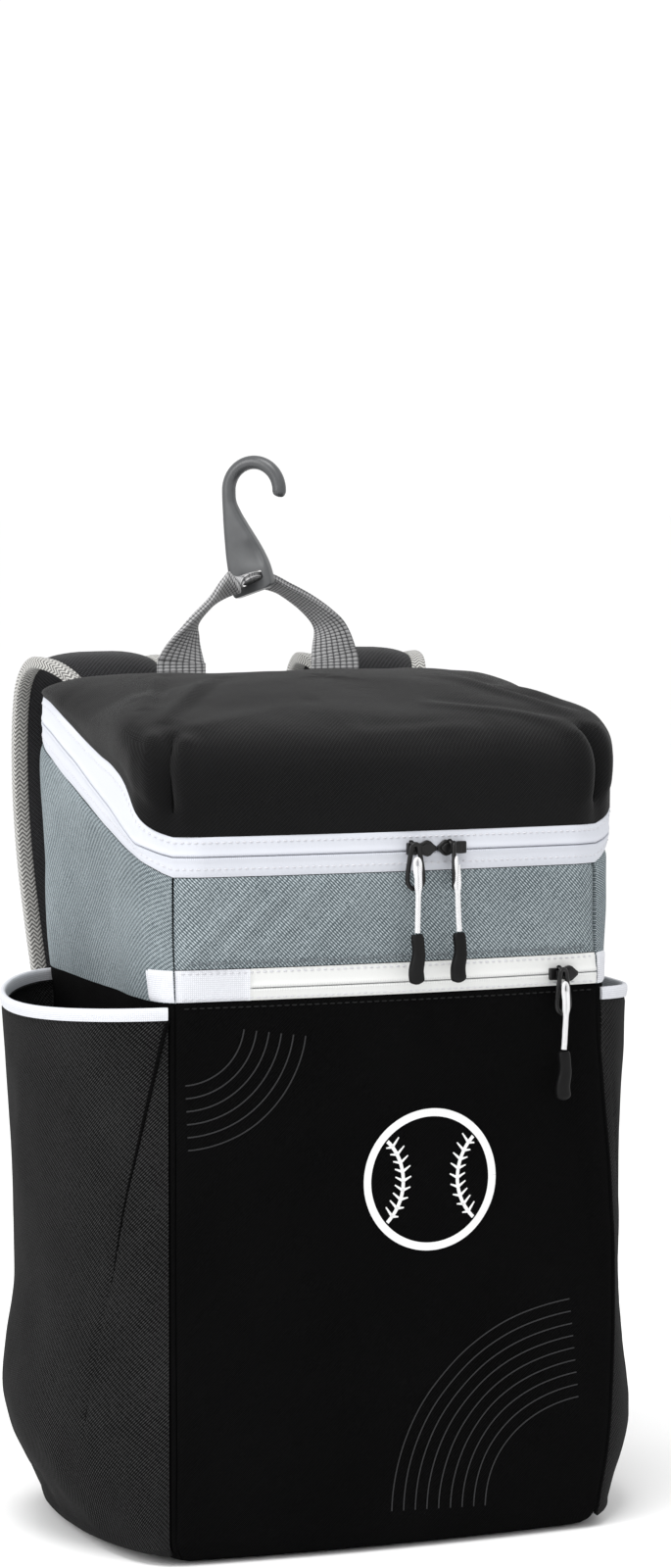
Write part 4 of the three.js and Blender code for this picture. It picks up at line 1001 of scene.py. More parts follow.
def add_grey_band():
    grid, above, below = panel(FRONT_TURNS, POCKET_ZIP_TOP, zip_low, 1.6)
    x = grid[..., 0]
    out = seam_dip(HALF_WIDTH - np.abs(x), 1.8) + seam_dip(above, 0.8, 1.6) + seam_dip(below, 1.0, 2.0)
    out += 0.7 * soft_noise(grid, 40, 5)
    for left, height in ((-122, 1.5), (-104, 1.3), (-84, 1.0), (-58, 0.7)):
        out += fold(grid, (left, 325), (left + 46, 370), 4.5, height)
    out += fold(grid, (60, 330), (118, 366), 8, 0.8) - fold(grid, (-30, 335), (40, 362), 9, 0.5)
    moved = pushed(grid, out)
    piece = grid_piece("front_grey_band", moved, thickness=PAD_CLOTH)
    dress(piece, GREY, ("front_grey_panel",))
    row = int(np.argmin(np.abs(above[:, 0] - 2.4)))
    stitches("grey_band_stitching", moved[row, 3:-3] + np.array((0, -0.45, 0)), (0, -1, 0), BAND_THREAD,
             "grey_cloth", 3.0, 1.4, 1.4)


def add_side(name, side):
    """A side in two cloths: grey above the pocket's rim and black behind the pocket."""
    start = 1 if side > 0 else 3
    turns = np.linspace(start + SEAM_SHARE, start + 1 - SEAM_SHARE, 84)
    parts = (("side_cloth", POCKET_SEAM_Z - SEAM, zip_low, GREY, "grey_cloth", (f"side_panel_{name}",)),
             ("side_lining", 0, POCKET_SEAM_Z, BLACK, "black_cloth", ()))
    for word, low, top, material, slot, stands_for in parts:
        grid, _, below = panel(turns, low, top, 3.2)
        y, z = grid[..., 1], grid[..., 2]
        out = seam_dip(y + HALF_DEPTH, 2.0, 3) + seam_dip(HALF_DEPTH - y, 1.5, 3)
        if top is zip_low:
            out += seam_dip(below, 1.2, 2.5)
        uneven = 1.8 * soft_noise(grid, 60, 7 + side) + 0.6 * soft_noise(grid, 22, 8)
        out += uneven * np.clip((y + HALF_DEPTH) / 20, 0, 1)
        out *= np.clip(z / 20, 0, 1)
        piece = grid_piece(f"{word}_{name}", pushed(grid, out), thickness=PAD_CLOTH)
        dress(piece, material, stands_for)


# The pocket zip's tape turns both front corners and ends there as a short tab
TAB_REACH = 17


def add_zip_tab(name, side):
    depths = np.linspace(SEAM_SHARE, TAB_REACH / (2 * HALF_DEPTH), 24)
    turns = 1 + depths if side > 0 else 4 - depths[::-1]
    z = np.linspace(POCKET_SEAM_Z + SEAM / 2, POCKET_ZIP_TOP - SEAM / 2, 14)
    grid = body(turns[None, :], z[:, None])
    out = 0.9 + seam_dip(z[:, None] - z[0], 0.7, 1.0) + seam_dip(z[-1] - z[:, None], 0.7, 1.0)
    from_corner = grid[..., 1] + HALF_DEPTH
    out = out + seam_dip(TAB_REACH - from_corner, 0.8, 1.2) + seam_dip(from_corner, 0.8, 1.4)
    piece = grid_piece(f"pocket_zip_tab_{name}", pushed(grid, out), thickness=1.4)
    dress(piece, WHITE_BINDING)


# The back pad: sewn channels across, on both sides of a channel for air
CHANNEL_ROWS = (92, 138, 184, 230, 276, 322)
CHANNEL_WIDTH = 11.9
PADDED_FROM = 60
PADDED_TO = 368
PADDED_EDGE = 12
QUILT_HEIGHT = 5.0
QUILT_SEAM = 4.5
BACK_SUNK = 4.0


def add_back():
    turns = np.linspace(2 + SEAM_SHARE, 3 - SEAM_SHARE, 120)
    grid, _, _ = panel(turns, 0, BACK_TOP, 2.6)
    x, z = grid[..., 0], grid[..., 2]
    to_side = np.abs(body(2 + SEAM_SHARE, z)[..., 0]) - np.abs(x)
    padded = np.clip(to_side / 10, 0, 1) * np.clip((z - PADDED_FROM) / PADDED_EDGE, 0, 1)
    padded = padded * np.clip((PADDED_TO - z) / PADDED_EDGE, 0, 1)
    lanes = np.full_like(x, 99.0)
    for row in CHANNEL_ROWS:
        lanes = np.minimum(lanes, np.abs(z - row))
    quilt = QUILT_HEIGHT * (1 - hump(lanes, QUILT_SEAM)) * (1 - hump(x, CHANNEL_WIDTH))
    out = padded * (quilt + 0.8 * soft_noise(grid, 35, 9)) - BACK_SUNK + seam_dip(to_side, 1.6, 3)
    piece = grid_piece("back_pad", pushed(grid, out), thickness=BACK_CLOTH)
    dress(piece, BACK_MESH, ("back_panel",))


def add_base():
    turns = np.linspace(0, 4, 161)[:-1]
    rim = body(turns, 0.0)
    rings = []
    for share, z in ((0.0, 0.6), (0.3, 0.3), (0.7, 0.3), (0.95, 0.3), (1.0, 1.2), (1.0, 2.4), (0.95, 2.9),
                     (0.5, 2.9), (0.0, 2.9)):
        ring = rim * share
        ring[:, 2] = z
        rings.append(ring)
    piece = grid_piece("base_cloth", np.array(rings), closed=True, centre=(0, 0, 1.5))
    dress(piece, BLACK, ("base_panel",))


# Zip tapes
def tape_profile(away):
    """How far a zip's tape stands out at a distance from the line where its halves meet."""
    coil = 0.55 * hump(np.abs(away) - 1.4, 1.6)
    return coil - 1.1 * hump(away, 0.4)


# Length, gap and width of the stitches on the tapes
TAPE_STITCH = (2.6, 1.2, 0.8)
# Rows of the lid tape's grid on each side of its line
LINE_ROW = 18


def add_lid_tape():
    turns = np.concatenate([np.linspace(-1 + SEAM_SHARE, -0.001, 120), np.linspace(0, 1, 180),
                            np.linspace(1.001, 2 - SEAM_SHARE, 120)])
    low = zip_low(turns) + SEAM / 2
    top = zip_top(turns) - SEAM / 2
    line = low + (top - low) * zip_line_share(depth_of(turns))
    offsets = np.concatenate([-np.geomspace(1, 0.02, LINE_ROW), [0.0], np.geomspace(0.02, 1, LINE_ROW)])
    rows = []
    for offset in offsets:
        z = np.where(offset < 0, line + offset * (line - low), line + offset * (top - line))
        rows.append(body(turns, z))
    grid = np.array(rows)
    away = grid[..., 2] - line[None, :]
    out = tape_profile(away) + seam_dip(grid[..., 2] - low, 0.9, 1.5) + seam_dip(top - grid[..., 2], 0.5, 1.2)
    out += 0.5 * soft_noise(grid, 26, 11)
    grid = pushed(grid, out)
    piece = grid_piece("lid_zip", grid, thickness=TAPE_CLOTH)
    centre_uv(piece, LINE_ROW, grid)
    dress(piece, LID_TAPE, ("lid_zip_tape",))
    normal = grid_normals(grid, False, BODY_MIDDLE)
    for word, share in (("low", 0.2), ("top", 0.86)):
        z = low + (top - low) * share
        line = [[np.interp(z[j], grid[:, j, 2], grid[:, j, i]) for i in range(3)] for j in range(len(turns))]
        stitches(f"lid_zip_stitching_{word}", line, normal[LINE_ROW], WHITE_THREAD, "lid_tape", *TAPE_STITCH)


def centre_uv(piece, row, grid):
    """Moves the UV map so that a row of the grid lies at zero, where a zip's halves meet."""
    up = arc_lengths(grid, 0)
    shift = (up[row] - up[-1] / 2) * MM
    for entry in piece.data.uv_layers["cloth"].data:
        entry.uv = (entry.uv[0], entry.uv[1] - shift)


POCKET_ZIP_LINE = 313.2
ZIP_END_X = -83
# Rows of the tape's grid below and above its line
TAPE_ROWS_BELOW = 14
TAPE_ROWS_ABOVE = 20


def add_pocket_tape():
    turns = np.linspace(SEAM_SHARE, 1 - SEAM_SHARE, 220)
    low = POCKET_SEAM_Z + SEAM / 2
    top = POCKET_ZIP_TOP - SEAM / 2
    offsets = np.concatenate([-np.geomspace(1, 0.03, TAPE_ROWS_BELOW), [0.0],
                              np.geomspace(0.03, 1, TAPE_ROWS_ABOVE)])
    z = np.where(offsets < 0, POCKET_ZIP_LINE + offsets * (POCKET_ZIP_LINE - low),
                 POCKET_ZIP_LINE + offsets * (top - POCKET_ZIP_LINE))
    grid = body(turns[None, :], z[:, None])
    x = grid[..., 0]
    away = grid[..., 2] - POCKET_ZIP_LINE
    zipped = np.clip((x - ZIP_END_X) / 2, 0, 1)
    out = tape_profile(away) * zipped + 0.9 * hump(x - ZIP_END_X, 1.6) * (1 - zipped)
    out += seam_dip(HALF_WIDTH - np.abs(x), 1.2) + 0.35 * soft_noise(grid, 30, 12)
    out += seam_dip(grid[..., 2] - low, 0.6, 1.0) + seam_dip(top - grid[..., 2], 0.6, 1.0)
    grid = pushed(grid, out)
    split = int(np.argmin(np.abs(grid[0, :, 0] - ZIP_END_X)))
    plain = grid_piece("pocket_zip_end", grid[:, :split + 1], thickness=TAPE_CLOTH)
    dress(plain, WHITE_BINDING)
    piece = grid_piece("pocket_zip", grid[:, split:], thickness=TAPE_CLOTH)
    centre_uv(piece, TAPE_ROWS_BELOW, grid)
    dress(piece, FRONT_TAPE, ("front_zip_tape",))
    for word, place in (("low", POCKET_SEAM_Z + 1.9), ("top", POCKET_ZIP_TOP - 2.2)):
        row = int(np.argmin(np.abs(z - place)))
        stitches(f"pocket_zip_stitching_{word}", grid[row, 2:-2], (0, -1, 0), WHITE_THREAD, "front_tape",
                 *TAPE_STITCH)


# Lid
LID_CORNER_POWER = 9
LID_FRONT_POWER = 4
LID_SIDE_POWER = 2.5
LID_PUFF = 0.035
LID_MIDDLE = (0, 0, 380)
# About how long the lid's cloth is up its side and along one side
LID_CLIMB = 90
LID_SIDE_LENGTH = 200
# How far up the corner the lid's seam runs, as a share of the lid's rise
LID_SEAM_END = 0.5


def lid_surface(turn, rise):
    turn, rise = np.broadcast_arrays(np.asarray(turn, float), np.asarray(rise, float))
    depth = depth_of(turn)
    part = np.floor(np.mod(turn, 4))
    rim = body(turn, zip_top(turn))
    soften = np.where(part % 2 == 1, smoothstep(depth, 0.05, 0.5), np.where(part == 2, 1.0, 0.0))
    power = LID_FRONT_POWER + (LID_SIDE_POWER - LID_FRONT_POWER) * soften
    cornered = (1 - soften) * (1 - smoothstep(rise, 0.5, 0.85))
    power_across = power + (LID_CORNER_POWER - LID_FRONT_POWER) * cornered
    angle = rise * math.pi / 2
    puff = 1 + LID_PUFF * np.sin(2 * angle)
    climb = np.sin(angle) ** (2 / power)
    x = rim[..., 0] * puff * np.cos(angle) ** (2 / power_across)
    y = rim[..., 1] * puff * np.cos(angle) ** (2 / power)
    crown = LID_TOP_Z - LID_RISE * lid_crown((y + HALF_DEPTH) / (2 * HALF_DEPTH))
    z = rim[..., 2] + SEAM / 2 + (crown - rim[..., 2]) * climb
    return np.stack([x, y, z], axis=-1)


# Soft folds that run in from the lid's corners: start and end across and back, width and height
LID_FOLDS = (((-121, -74), (-62, 8), 5, 2.6), ((-124, -52), (-88, 36), 5, 2.2),
             ((-122, -30), (-98, 56), 4.5, 1.6), ((-112, -86), (-30, -52), 6, 1.8),
             ((121, -74), (60, 6), 6, 2.4), ((114, -86), (34, -56), 6, 1.7),
             ((124, -48), (92, 34), 5, 1.6), ((-20, -92), (60, -88), 6, 1.0))
# From each fold to the hollow beside it
FOLD_STEP = (9, 4)


def add_lid():
    turns = np.concatenate([np.linspace(0, 1, 121)[:-1], np.linspace(1, 2, 101)[:-1],
                            np.linspace(2, 3, 81)[:-1], np.linspace(3, 4, 101)[:-1]])
    rises = np.concatenate([np.linspace(0, 0.12, 12)[:-1], np.linspace(0.12, 0.985, 60)])
    grid = lid_surface(turns[None, :], rises[:, None])
    rise = rises[:, None]
    out = 1.6 * soft_noise(grid, 60, 21) + 0.7 * soft_noise(grid, 26, 22)
    out += 0.8 * hump(rise - 0.42, 0.2)
    out += seam_dip(rise * LID_CLIMB, 1.2, 3)
    for corner in (0.0, 1.0):
        gap = np.minimum(np.abs(turns - corner), np.abs(turns - 4 - corner))[None, :]
        beside = gap * LID_SIDE_LENGTH
        held = 1 - smoothstep(rise, LID_SEAM_END - 0.08, LID_SEAM_END + 0.06)
        out += held * (2.4 * hump(beside - 6, 5) - 4.2 * hump(beside, 1.8))
    for start, end, width, height in LID_FOLDS:
        out += fold(grid, start, end, width, height, (0, 1))
        start, end = np.add(start, FOLD_STEP), np.add(end, FOLD_STEP)
        out -= fold(grid, start, end, width, height * 0.7, (0, 1))
    out *= smoothstep(rise, 0.0, 0.06) * 0.9 + 0.1
    grid = pushed(grid, out, closed=True, centre=LID_MIDDLE)
    crown = np.tile(np.array((0, 0, grid[-1, :, 2].mean() + 0.05)), (grid.shape[1], 1))
    grid = np.concatenate([grid, crown[None]], axis=0)
    piece = grid_piece("lid_cloth", grid, closed=True, thickness=PAD_CLOTH, centre=LID_MIDDLE)
    box_uv(piece)
    dress(piece, LID_BLACK, ("lid",))


SEAM_SUNK = 1.9


def add_lid_corner_seam(word, corner, side):
    """The folded edge that runs up a front corner of the lid and ends in a dart. Its darker cloth is painted
    shade in the groove at the corner.
    """
    rises = np.linspace(0.015, LID_SEAM_END, 40)
    line = lid_surface(corner, rises)
    width = reader(((0, 1.8), (0.7, 2.0), (1, 0.5)))
    line = line - np.array((side * SEAM_SUNK, -SEAM_SUNK, 0))
    piece = swept(f"lid_corner_seam_{word}", line, lambda t: oval(width(t), width(t), 8))
    # The front pocket's darker black on this edge, instead of the lid's own cloth, is painted shade in the
    # corner's groove
    dress(piece, BLACK)


def box_uv(piece):
    """Lays the cloth's UV map on flat, face by face, from the way each faces."""
    mesh = piece.data
    layer = mesh.uv_layers["cloth"]
    for face in mesh.polygons:
        nx, ny, nz = (abs(n) for n in face.normal)
        if nz >= 0.62:
            a, b = 0, 1
        elif ny >= nx:
            a, b = 0, 2
        else:
            a, b = 1, 2
        for loop, vertex in zip(face.loop_indices, face.vertices):
            co = mesh.vertices[vertex].co
            layer.data[loop].uv = (co[a], co[b])


# Side pockets
POCKET_DEPTHS = np.linspace(0.0, 1.0, 120)
# A seam slants over each pocket from its top front corner: y and z
SLANT_SEAM = ((-100, 297), (-97.5, 266), (-92.5, 226), (-86, 186), (-82, 159), (-75.4, 122), (-71.4, 95),
              (-68.4, 69))


def pocket_surface(side, swell, depth, height):
    depth, height = np.broadcast_arrays(np.asarray(depth, float), np.asarray(height, float))
    rim = POCKET_RIM_Z - RIM_DROP * np.sin(math.pi * depth)
    belly = np.sin(math.pi * np.clip(depth, 0, 1)) ** POCKET_BELLY
    foot = POCKET_FLOOR_Z + POCKET_END_LIFT * (1 - belly)
    z = foot + height * (rim - foot)
    wall = HALF_WIDTH + side_out(depth, np.maximum(z, BASE_ROUND)) - tucked_under(z) / 2
    x = wall + CLOTH + 2 * SEAM + swell * pocket_out[side](height) * belly
    y = (2 * depth - 1) * POCKET_HALF_DEPTH
    return np.stack([side * x, y, z], axis=-1)


def slant_distance(grid):
    line = smooth_path(SLANT_SEAM, 2.0)
    flat = grid[..., 1:]
    gaps = np.linalg.norm(flat[..., None, :] - line[None, None], axis=-1)
    return gaps.min(axis=-1)


# Soft folds on each pocket: start and end back and up, width and height
POCKET_FOLDS = {
    1: (((-80, 290), (-62, 150), 5, 1.8), ((-70, 280), (-50, 120), 5, -1.6), ((-84, 180), (-60, 60), 6, 1.4)),
    -1: (((-92, 150), (-40, 70), 8, 1.2), ((-88, 120), (-44, 40), 8, -1.0), ((-20, 300), (10, 200), 12, 1.2)),
}


def pocket_relief(grid, side, height):
    away = slant_distance(grid)
    deep = 0.55 + 0.45 * smoothstep(grid[..., 2], 80, 200)
    out = 1.3 * hump(away, 9) - 3.0 * deep * hump(away, 1.2)
    out += 2.2 * soft_noise(grid, 62, 31 + side) + 0.9 * soft_noise(grid, 24, 33)
    low = hump(height - 0.06, 0.09)
    out += 1.2 * low * soft_noise(grid, 18, 35)
    for start, end, width, rise in POCKET_FOLDS[side]:
        out += fold(grid, start, end, width, rise, (1, 2))
    return out


def add_pocket(name, side, swell):
    top = 1 - BINDING_HEIGHT / POCKET_RIM_Z
    heights = np.unique(np.concatenate([np.linspace(0, 0.03, 12), np.linspace(0.03, top, 96)]))
    height = heights[:, None]
    grid = pocket_surface(side, swell, POCKET_DEPTHS[None, :], height)
    ends = np.sin(math.pi * POCKET_DEPTHS)[None, :] ** 0.5
    calm = smoothstep(height, 0.0, 0.04) * ends
    out = pocket_relief(grid, side, height) * calm * (0.4 + 0.6 * smoothstep(1 - height, 0.03, 0.12))
    out += seam_dip((top - height) * POCKET_RIM_Z, 1.0, 2.0)
    middle = (side * HALF_WIDTH, 0, POCKET_RIM_Z / 2)
    grid = pushed(grid, out, centre=middle)
    piece = grid_piece(f"{name}_pocket_cloth", grid, thickness=CLOTH, centre=middle)
    dress(piece, POCKET_BLACK, (f"{name}_pocket",))
    add_rim(name, side, swell, top)


def add_slant_seam():
    """The folded edge in the bottle pocket's slanting seam. Its darker cloth is painted shade in the seam's
    groove.
    """
    y, z = smooth_path(SLANT_SEAM, 3.0).T
    depth = (y / POCKET_HALF_DEPTH + 1) / 2
    line = pocket_surface(-1, BOTTLE_SWELL, depth, z / POCKET_RIM_Z)
    line[:, 0] += 0.9
    shares = np.linspace(0, 1, len(line))
    width = reader(((0, 2.6), (0.3, 1.8), (0.8, 1.4), (1, 0.5)))
    piece = swept("slant_seam_edge", line, lambda t: oval(width(t), width(t), 8))
    # The front pocket's darker black on this edge, instead of the pocket's own cloth, is painted shade in the
    # seam's groove
    dress(piece, BLACK)
    beside = line + np.array((-0.7, 2.6, 0))
    stitches("slant_seam_stitching", beside[shares > 0.04], (-1, 0, 0), BLACK_THREAD, "black_cloth")


def add_rim(name, side, swell, top):
    """The white binding, folded over the rim."""
    heights = (1, (1 + top) / 2, top)
    rim, middle, foot = [pocket_surface(side, swell, POCKET_DEPTHS, height) for height in heights]
    ahead, _, _ = frames_along(rim)
    out = np.cross(ahead, (0, 0, 1.0))
    out *= np.sign((out * np.array((side, 0, 0))).sum(axis=1, keepdims=True) + 1e-9)
    rings = []
    for i in range(len(rim)):
        o = out[i]
        rings.append([foot[i] + o * 0.5, middle[i] + o * 0.9, rim[i] + o * 0.5 + (0, 0, -1.2),
                      rim[i] - o * 0.3 + (0, 0, -0.2), rim[i] - o * (BINDING / 2 + 0.3),
                      rim[i] - o * (BINDING - 0.2) + (0, 0, -0.6), rim[i] - o * BINDING + (0, 0, -2),
                      middle[i] - o * BINDING, foot[i] - o * (BINDING - 0.4), foot[i] - o * BINDING / 2])
    piece = sections_piece(f"{name}_rim_binding", rings)
    dress(piece, WHITE_BINDING, (f"{name}_pocket_binding",))


# Haul loop
LOOP_WEBBING = 30
LOOP_THICK = 2.2
LOOP_SPREAD = 47.5
LOOP_HEIGHT = 90
LOOP_FOOT_Z = 441
LOOP_STANDOFF = 0.5
# From the left foot over the top to the right foot: along, back, up, heading, tilt, narrow, fold
LOOP_SECTIONS = (
    (-1.02, 0, 0, 0, 0, 1, 1), (-1.02, 0, 0.36, 0, 0, 1, 1), (-1.01, -0.02, 0.45, 4, 0, 0.92, 1.2),
    (-0.95, -0.05, 0.58, 26, 0, 0.66, 1.6), (-0.88, -0.1, 0.68, 52, 0, 0.5, 2),
    (-0.7, -0.16, 0.79, 60, 0, 0.48, 2), (-0.49, -0.24, 0.895, 14, 8, 0.48, 2),
    (-0.34, -0.3, 0.945, -30, 16, 0.48, 2), (-0.19, -0.17, 0.955, -45, 21, 0.48, 2),
    (-0.04, -0.02, 0.95, -45, 21, 0.48, 2), (0.14, 0.06, 0.93, -52, 14, 0.48, 2),
    (0.36, 0.06, 0.88, -52, 0, 0.48, 2), (0.63, 0.03, 0.79, -45, 0, 0.48, 2),
    (0.84, 0, 0.69, -34, 0, 0.54, 1.8), (0.94, 0, 0.6, -18, 0, 0.7, 1.5), (0.98, 0, 0.48, -5, 0, 0.9, 1.1),
    (1, 0, 0.36, 0, 0, 1, 1), (1, 0, 0, 0, 0, 1, 1))


def column(rows, index, share):
    """A smooth curve through one column of a table, read at a share of its rows."""
    return reader([(i / (len(rows) - 1), row[index]) for i, row in enumerate(rows)])(share)


def loop_place(along, back, up):
    """Where the middle of the loop's webbing lies for a row's first three values."""
    y = HALF_DEPTH + LOOP_STANDOFF + LOOP_THICK / 2 + LOOP_WEBBING * back
    return np.stack([LOOP_SPREAD * along, y, LOOP_FOOT_Z + LOOP_HEIGHT * up], axis=-1)


def loop_outline(width, thick, folded):
    """Webbing seen on its end: flat, or folded double with a groove along one edge."""
    points = []
    for a, b in oval(width, thick, 28, 5):
        groove = 0.32 * folded * hump(b / thick, 0.14) * (a > 0)
        points.append((a * (1 - groove * 0.5), b))
    return points


def add_haul_loop():
    shares = np.linspace(0, 1, 220)
    along, back, up, heading, tilt, narrow, folds = [column(LOOP_SECTIONS, i, shares) for i in range(7)]
    path = loop_place(along, back, up)
    turn, lean = np.radians(heading), np.radians(tilt)
    across = np.stack([np.cos(turn) * np.cos(lean), np.sin(turn) * np.cos(lean), np.sin(lean)], axis=1)

    def section(t):
        i = int(round(t * (len(shares) - 1)))
        folded = np.clip(folds[i] - 1, 0, 1)
        return loop_outline(LOOP_WEBBING * narrow[i], LOOP_THICK * folds[i], folded)

    piece = swept("haul_loop_webbing", path, section, across)
    dress(piece, WEBBING, ("haul_loop",))


# Fence hook
HOOK_BOW = (3.5, 47.3)
HOOK_OUTER = 20.2
HOOK_INNER = 12.2
HOOK_THICK = 7.6
HOOK_TURN = -45
# Below the bow: outer edge x and up, inner edge x and up, and how boxy the section is
HOOK_ROWS = ((-16.5, 42, -8.3, 41, 2.4), (-15.9, 34, -5.6, 35, 3.2), (-15.2, 26, -1.6, 28.4, 4.5),
             (-14.4, 18, 3.4, 21, 6), (-13.5, 9, 8.2, 13.6, 7), (-12.2, 0.5, 12.4, 5.6, 8),
             (-11, -6, 14.8, -1.4, 8), (-9.9, -11.5, 15.7, -5.2, 8), (-8.7, -14.6, 15.4, -7.2, 8),
             (-6.9, -15.9, 13.6, -8.9, 8))
SLOT_SIZE = (17.4, 6.4)
SLOT_SLOPE = 21
SLOT_PLACE = (2.2, -4.2)
SLOT_POINTS = 32
# How far the cutter stands out on both sides of the hook's middle
SLOT_REACH = 9


def hook_rows():
    """Outer edge, inner edge and boxiness at places from the tip round the bow to the foot."""
    rows = []
    for degrees in (-14, -13, -10, -5, *range(0, 181, 9)):
        a = math.radians(degrees)
        c, s = math.cos(a), math.sin(a)
        pinch = {-14: 0.1, -13: 0.45, -10: 0.78, -5: 0.95}.get(degrees, 1)
        mid = (HOOK_OUTER + HOOK_INNER) / 2
        half = (HOOK_OUTER - HOOK_INNER) / 2 * pinch
        rows.append((HOOK_BOW[0] + (mid + half) * c, HOOK_BOW[1] + (mid + half) * s,
                     HOOK_BOW[0] + (mid - half) * c, HOOK_BOW[1] + (mid - half) * s, 2.15, pinch))
    rows += [(*row, 1) for row in HOOK_ROWS]
    rows.append((-5.6, -15.6, 12.4, -9.2, 8, 0.55))
    return rows


def add_hook():
    rows = np.array(hook_rows(), float)
    at = np.arange(len(rows))
    fine = np.linspace(0, len(rows) - 1, 170)
    cols = [reader(list(zip(at, rows[:, i])))(fine) for i in range(6)]
    loop_at = [column(LOOP_SECTIONS, i, 0.5) for i in range(3)]
    slot = loop_place(*loop_at)
    turn = math.radians(HOOK_TURN)
    flat = np.array((math.cos(turn), math.sin(turn), 0))
    out = np.array((-math.sin(turn), math.cos(turn), 0))
    origin = slot - flat * SLOT_PLACE[0] - np.array((0, 0, SLOT_PLACE[1]))
    rings = []
    for ox, oz, ix, iz, boxy, full in zip(*cols):
        outer, inner = np.array((ox, oz)), np.array((ix, iz))
        middle = (outer + inner) / 2
        half = (inner - outer) / 2
        ring = []
        for a, b in oval(2, HOOK_THICK * min(1.0, full), 44, boxy):
            p = middle + half * a
            shade = hook_groove(p) * (1 if b < 0 else 0)
            place = origin + flat * p[0] + out * (b + shade) + np.array((0, 0, p[1]))
            ring.append(place)
        rings.append(ring)
    piece = sections_piece("fence_hook_body", rings)
    cut_slot(piece, origin, flat, out)
    dress(piece, HOOK, ("fence_hook",))


def hook_groove(p):
    """An almond-shaped hollow above the slot, on the face towards the front."""
    start, end = np.array((1.5, 18.5)), np.array((10.4, 3.4))
    length = np.linalg.norm(end - start)
    way = (end - start) / length
    share = np.dot(p - start, way) / length
    off = abs((p - start)[0] * way[1] - (p - start)[1] * way[0])
    if share < 0 or share > 1:
        return 0.0
    width = 2.6 * math.sin(math.pi * share) + 0.2
    return 0.9 * math.exp(-(off / width) ** 2) * math.sin(math.pi * share) ** 0.5


def cut_slot(piece, origin, flat, out):
    slope = math.radians(SLOT_SLOPE)
    shape = bmesh.new()
    front, back = [], []
    for a, b in oval(*SLOT_SIZE, SLOT_POINTS, 5):
        x = SLOT_PLACE[0] + a * math.cos(slope) - b * math.sin(slope)
        z = SLOT_PLACE[1] + a * math.sin(slope) + b * math.cos(slope)
        at = origin + flat * x + np.array((0, 0, z))
        front.append(shape.verts.new((at - out * SLOT_REACH) * MM))
        back.append(shape.verts.new((at + out * SLOT_REACH) * MM))
    shape.faces.new(front)
    shape.faces.new(back[::-1])
    for i in range(SLOT_POINTS):
        j = (i + 1) % SLOT_POINTS
        shape.faces.new((front[i], back[i], back[j], front[j]))
    bmesh.ops.recalc_face_normals(shape, faces=shape.faces)
    mesh = bpy.data.meshes.new("slot_cutter")
    shape.to_mesh(mesh)
    shape.free()
    cutter = link(mesh, "slot_cutter")
    cut = piece.modifiers.new("slot", "BOOLEAN")
    cut.operation = "DIFFERENCE"
    cut.object = cutter
    cut.solver = "EXACT"
    fixed(piece, 40)
    bpy.data.objects.remove(cutter)


# Shoulder straps
STRAP_WIDTH = 78
STRAP_BINDING = 9
STRAP_PAD = 12
STRAP_BINDING_THICK = 7
STRAP_SPREAD = 84
STRAP_REACH = 76
STRAP_TOP_Z = 478
STRAP_DROP = 272
STRAP_SWAY = -5
# From the top seam over the arch and down: across, reach, drop, wide, sway
STRAP_SECTIONS = (
    (0.91, 0.13, 0.13, 0.8, 0), (0.91, 0.135, 0.08, 0.82, 0), (0.93, 0.215, 0.035, 0.88, 0.3),
    (0.96, 0.36, 0.008, 0.95, 0.7), (0.98, 0.55, 0, 1, 1), (1, 0.76, 0.02, 1, 1), (1.01, 0.91, 0.07, 1, 1),
    (1.01, 0.98, 0.15, 1, 1), (1.01, 1, 0.26, 0.99, 1), (1.01, 0.97, 0.4, 0.97, 0.9),
    (1, 0.89, 0.56, 0.94, 0.7), (0.99, 0.79, 0.72, 0.9, 0.4), (0.98, 0.68, 0.88, 0.82, 0.2),
    (0.98, 0.61, 1, 0.6, 0))


def strap_path(side, count=150):
    shares = np.linspace(0, 1, count)
    across, reach, drop, wide, sway = [column(STRAP_SECTIONS, i, shares) for i in range(5)]
    path = np.stack([side * STRAP_SPREAD * across + STRAP_SWAY * sway, HALF_DEPTH + STRAP_REACH * reach,
                     STRAP_TOP_Z - STRAP_DROP * drop], axis=1)
    return path, STRAP_WIDTH * wide


def level_rings(path, widths, outline):
    """Rings square to the path in its own upright plane, with their width level."""
    ahead = np.gradient(path, axis=0)
    ahead[:, 0] = 0
    ahead = unit(ahead)
    side = np.array((1.0, 0, 0))
    rings = []
    for i, point in enumerate(path):
        up = np.cross(ahead[i], side)
        rings.append([point + side * a + up * b for a, b in outline(widths[i])])
    return np.array(rings)


def add_shoulder_strap(name, side):
    path, widths = strap_path(side)
    inner = widths - 2 * STRAP_BINDING + 3

    def pad_outline(width):
        points = []
        for a, b in oval(1, 1, 40, 3.2):
            crown = 1 - 0.42 * abs(2 * a) ** 3
            points.append((a * width, b * STRAP_PAD * crown))
        return points

    rings = level_rings(path, inner, pad_outline)
    centre = rings.mean(axis=1, keepdims=True)
    wrinkle = 0.06 * soft_noise(rings, 30, 41 + side) + 0.03 * soft_noise(rings, 12, 42)
    rings = rings + (rings - centre) * np.array((0.05, 1, 1)) * wrinkle[..., None]
    pad = sections_piece(f"shoulder_pad_{name}", rings)
    box_uv_strap(pad)
    dress(pad, STRAP_BLACK, (f"shoulder_strap_{name}",))
    for edge_name, edge in (("outer", side), ("inner", -side)):
        add_strap_binding(f"{name}_{edge_name}", path, widths, edge)


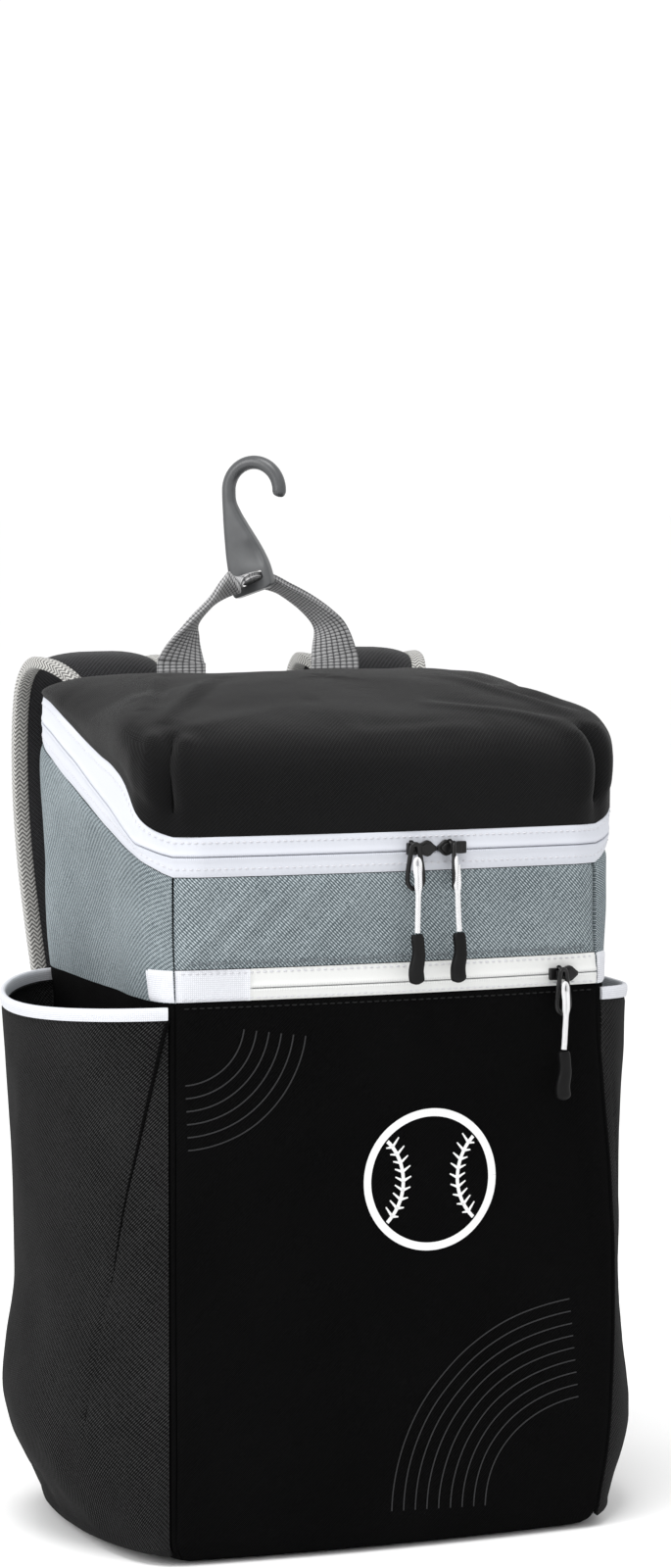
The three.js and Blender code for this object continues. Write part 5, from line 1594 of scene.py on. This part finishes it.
def add_strap_binding(name, path, widths, edge):
    offset = np.zeros_like(path)
    offset[:, 0] = edge * (widths / 2 - STRAP_BINDING / 2)

    def outline(_):
        points = []
        for a, b in oval(1, 1, 28, 6.0):
            nip = 1 - 0.3 * (0.5 - a * edge) ** 2
            points.append((a * STRAP_BINDING, b * STRAP_BINDING_THICK * nip))
        return points

    piece = sections_piece(f"strap_edge_{name}", level_rings(path + offset, widths, outline))
    dress(piece, TRIM, (f"strap_binding_{name}",))


def box_uv_strap(piece):
    """Lays the weave along the strap: places across by x and along by the path already in the map."""
    layer = piece.data.uv_layers["cloth"]
    for face in piece.data.polygons:
        for loop, vertex in zip(face.loop_indices, face.vertices):
            layer.data[loop].uv = (piece.data.vertices[vertex].co.x, layer.data[loop].uv[1])


for name, side in (("left", -1), ("right", 1)):
    add_shoulder_strap(name, side)

add_front_panel()
add_grey_band()
add_side("right", 1)
add_side("left", -1)
add_back()
add_base()
add_lid_tape()
add_pocket_tape()
add_zip_tab("right", 1)
add_zip_tab("left", -1)
add_ball()
add_arcs()
add_lid()
add_lid_corner_seam("left", 0.0, -1)
add_lid_corner_seam("right", 1.0, 1)
add_pocket("bottle", -1, BOTTLE_SWELL)
add_pocket("bat", 1, BAT_SWELL)
add_slant_seam()
add_haul_loop()
add_hook()


# CAD nodes that stay, with their finishes
def finish_node(node, material):
    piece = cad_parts[node]
    piece.data.materials.clear()
    piece.data.materials.append(material)
    mesh = piece.data
    if "cloth" not in mesh.uv_layers:
        mesh.uv_layers.new(name="cloth")
    box_uv(piece)


for name in ("left", "right"):
    finish_node(f"ladder_lock_{name}", LOCK)
    finish_node(f"strap_webbing_{name}", BLACK_WEBBING)
    finish_node(f"strap_tab_{name}", BLACK)


# Floor and light
FLOOR_HALF = 40
FLOOR_DROP = 0.0003


def add_floor():
    size = FLOOR_HALF
    mesh = bpy.data.meshes.new("floor")
    corners = [(-size, -size, 0), (size, -size, 0), (size, size, 0), (-size, size, 0)]
    mesh.from_pydata(corners, [], [(0, 1, 2, 3)])
    floor = link(mesh, "floor")
    floor.location.z = -FLOOR_DROP
    s = Shader("pale_floor")
    mesh.materials.append(s.finish((0.93, 0.93, 0.93), 0.9, None, 0.0, 0.05))


def add_light(name, place, aim, size, power):
    light = bpy.data.objects.new(name, bpy.data.lights.new(name, "AREA"))
    light.data.shape = "RECTANGLE"
    light.data.size, light.data.size_y = size
    light.data.energy = power
    light.location = place
    light.rotation_euler = (Vector(aim) - Vector(place)).to_track_quat("-Z", "Y").to_euler()
    bpy.context.scene.collection.objects.link(light)


WORLD_LIGHT = 1.09
# Name, place, aim, size and power
LIGHTS = (("top_softbox", (-0.5, -0.7, 2.1), (0, 0, 0.35), (1.0, 1.0), 24),
          ("left_softbox", (-2.2, -0.5, 1.3), (0, 0, 0.3), (0.7, 1.4), 22))


def add_studio():
    world = bpy.data.worlds.new("studio")
    world.use_nodes = True
    world.node_tree.nodes["Background"].inputs[0].default_value = (1, 1, 1, 1)
    world.node_tree.nodes["Background"].inputs[1].default_value = WORLD_LIGHT
    bpy.context.scene.world = world
    for light in LIGHTS:
        add_light(*light)
    bpy.context.scene.view_settings.view_transform = "Standard"


add_floor()
add_studio()
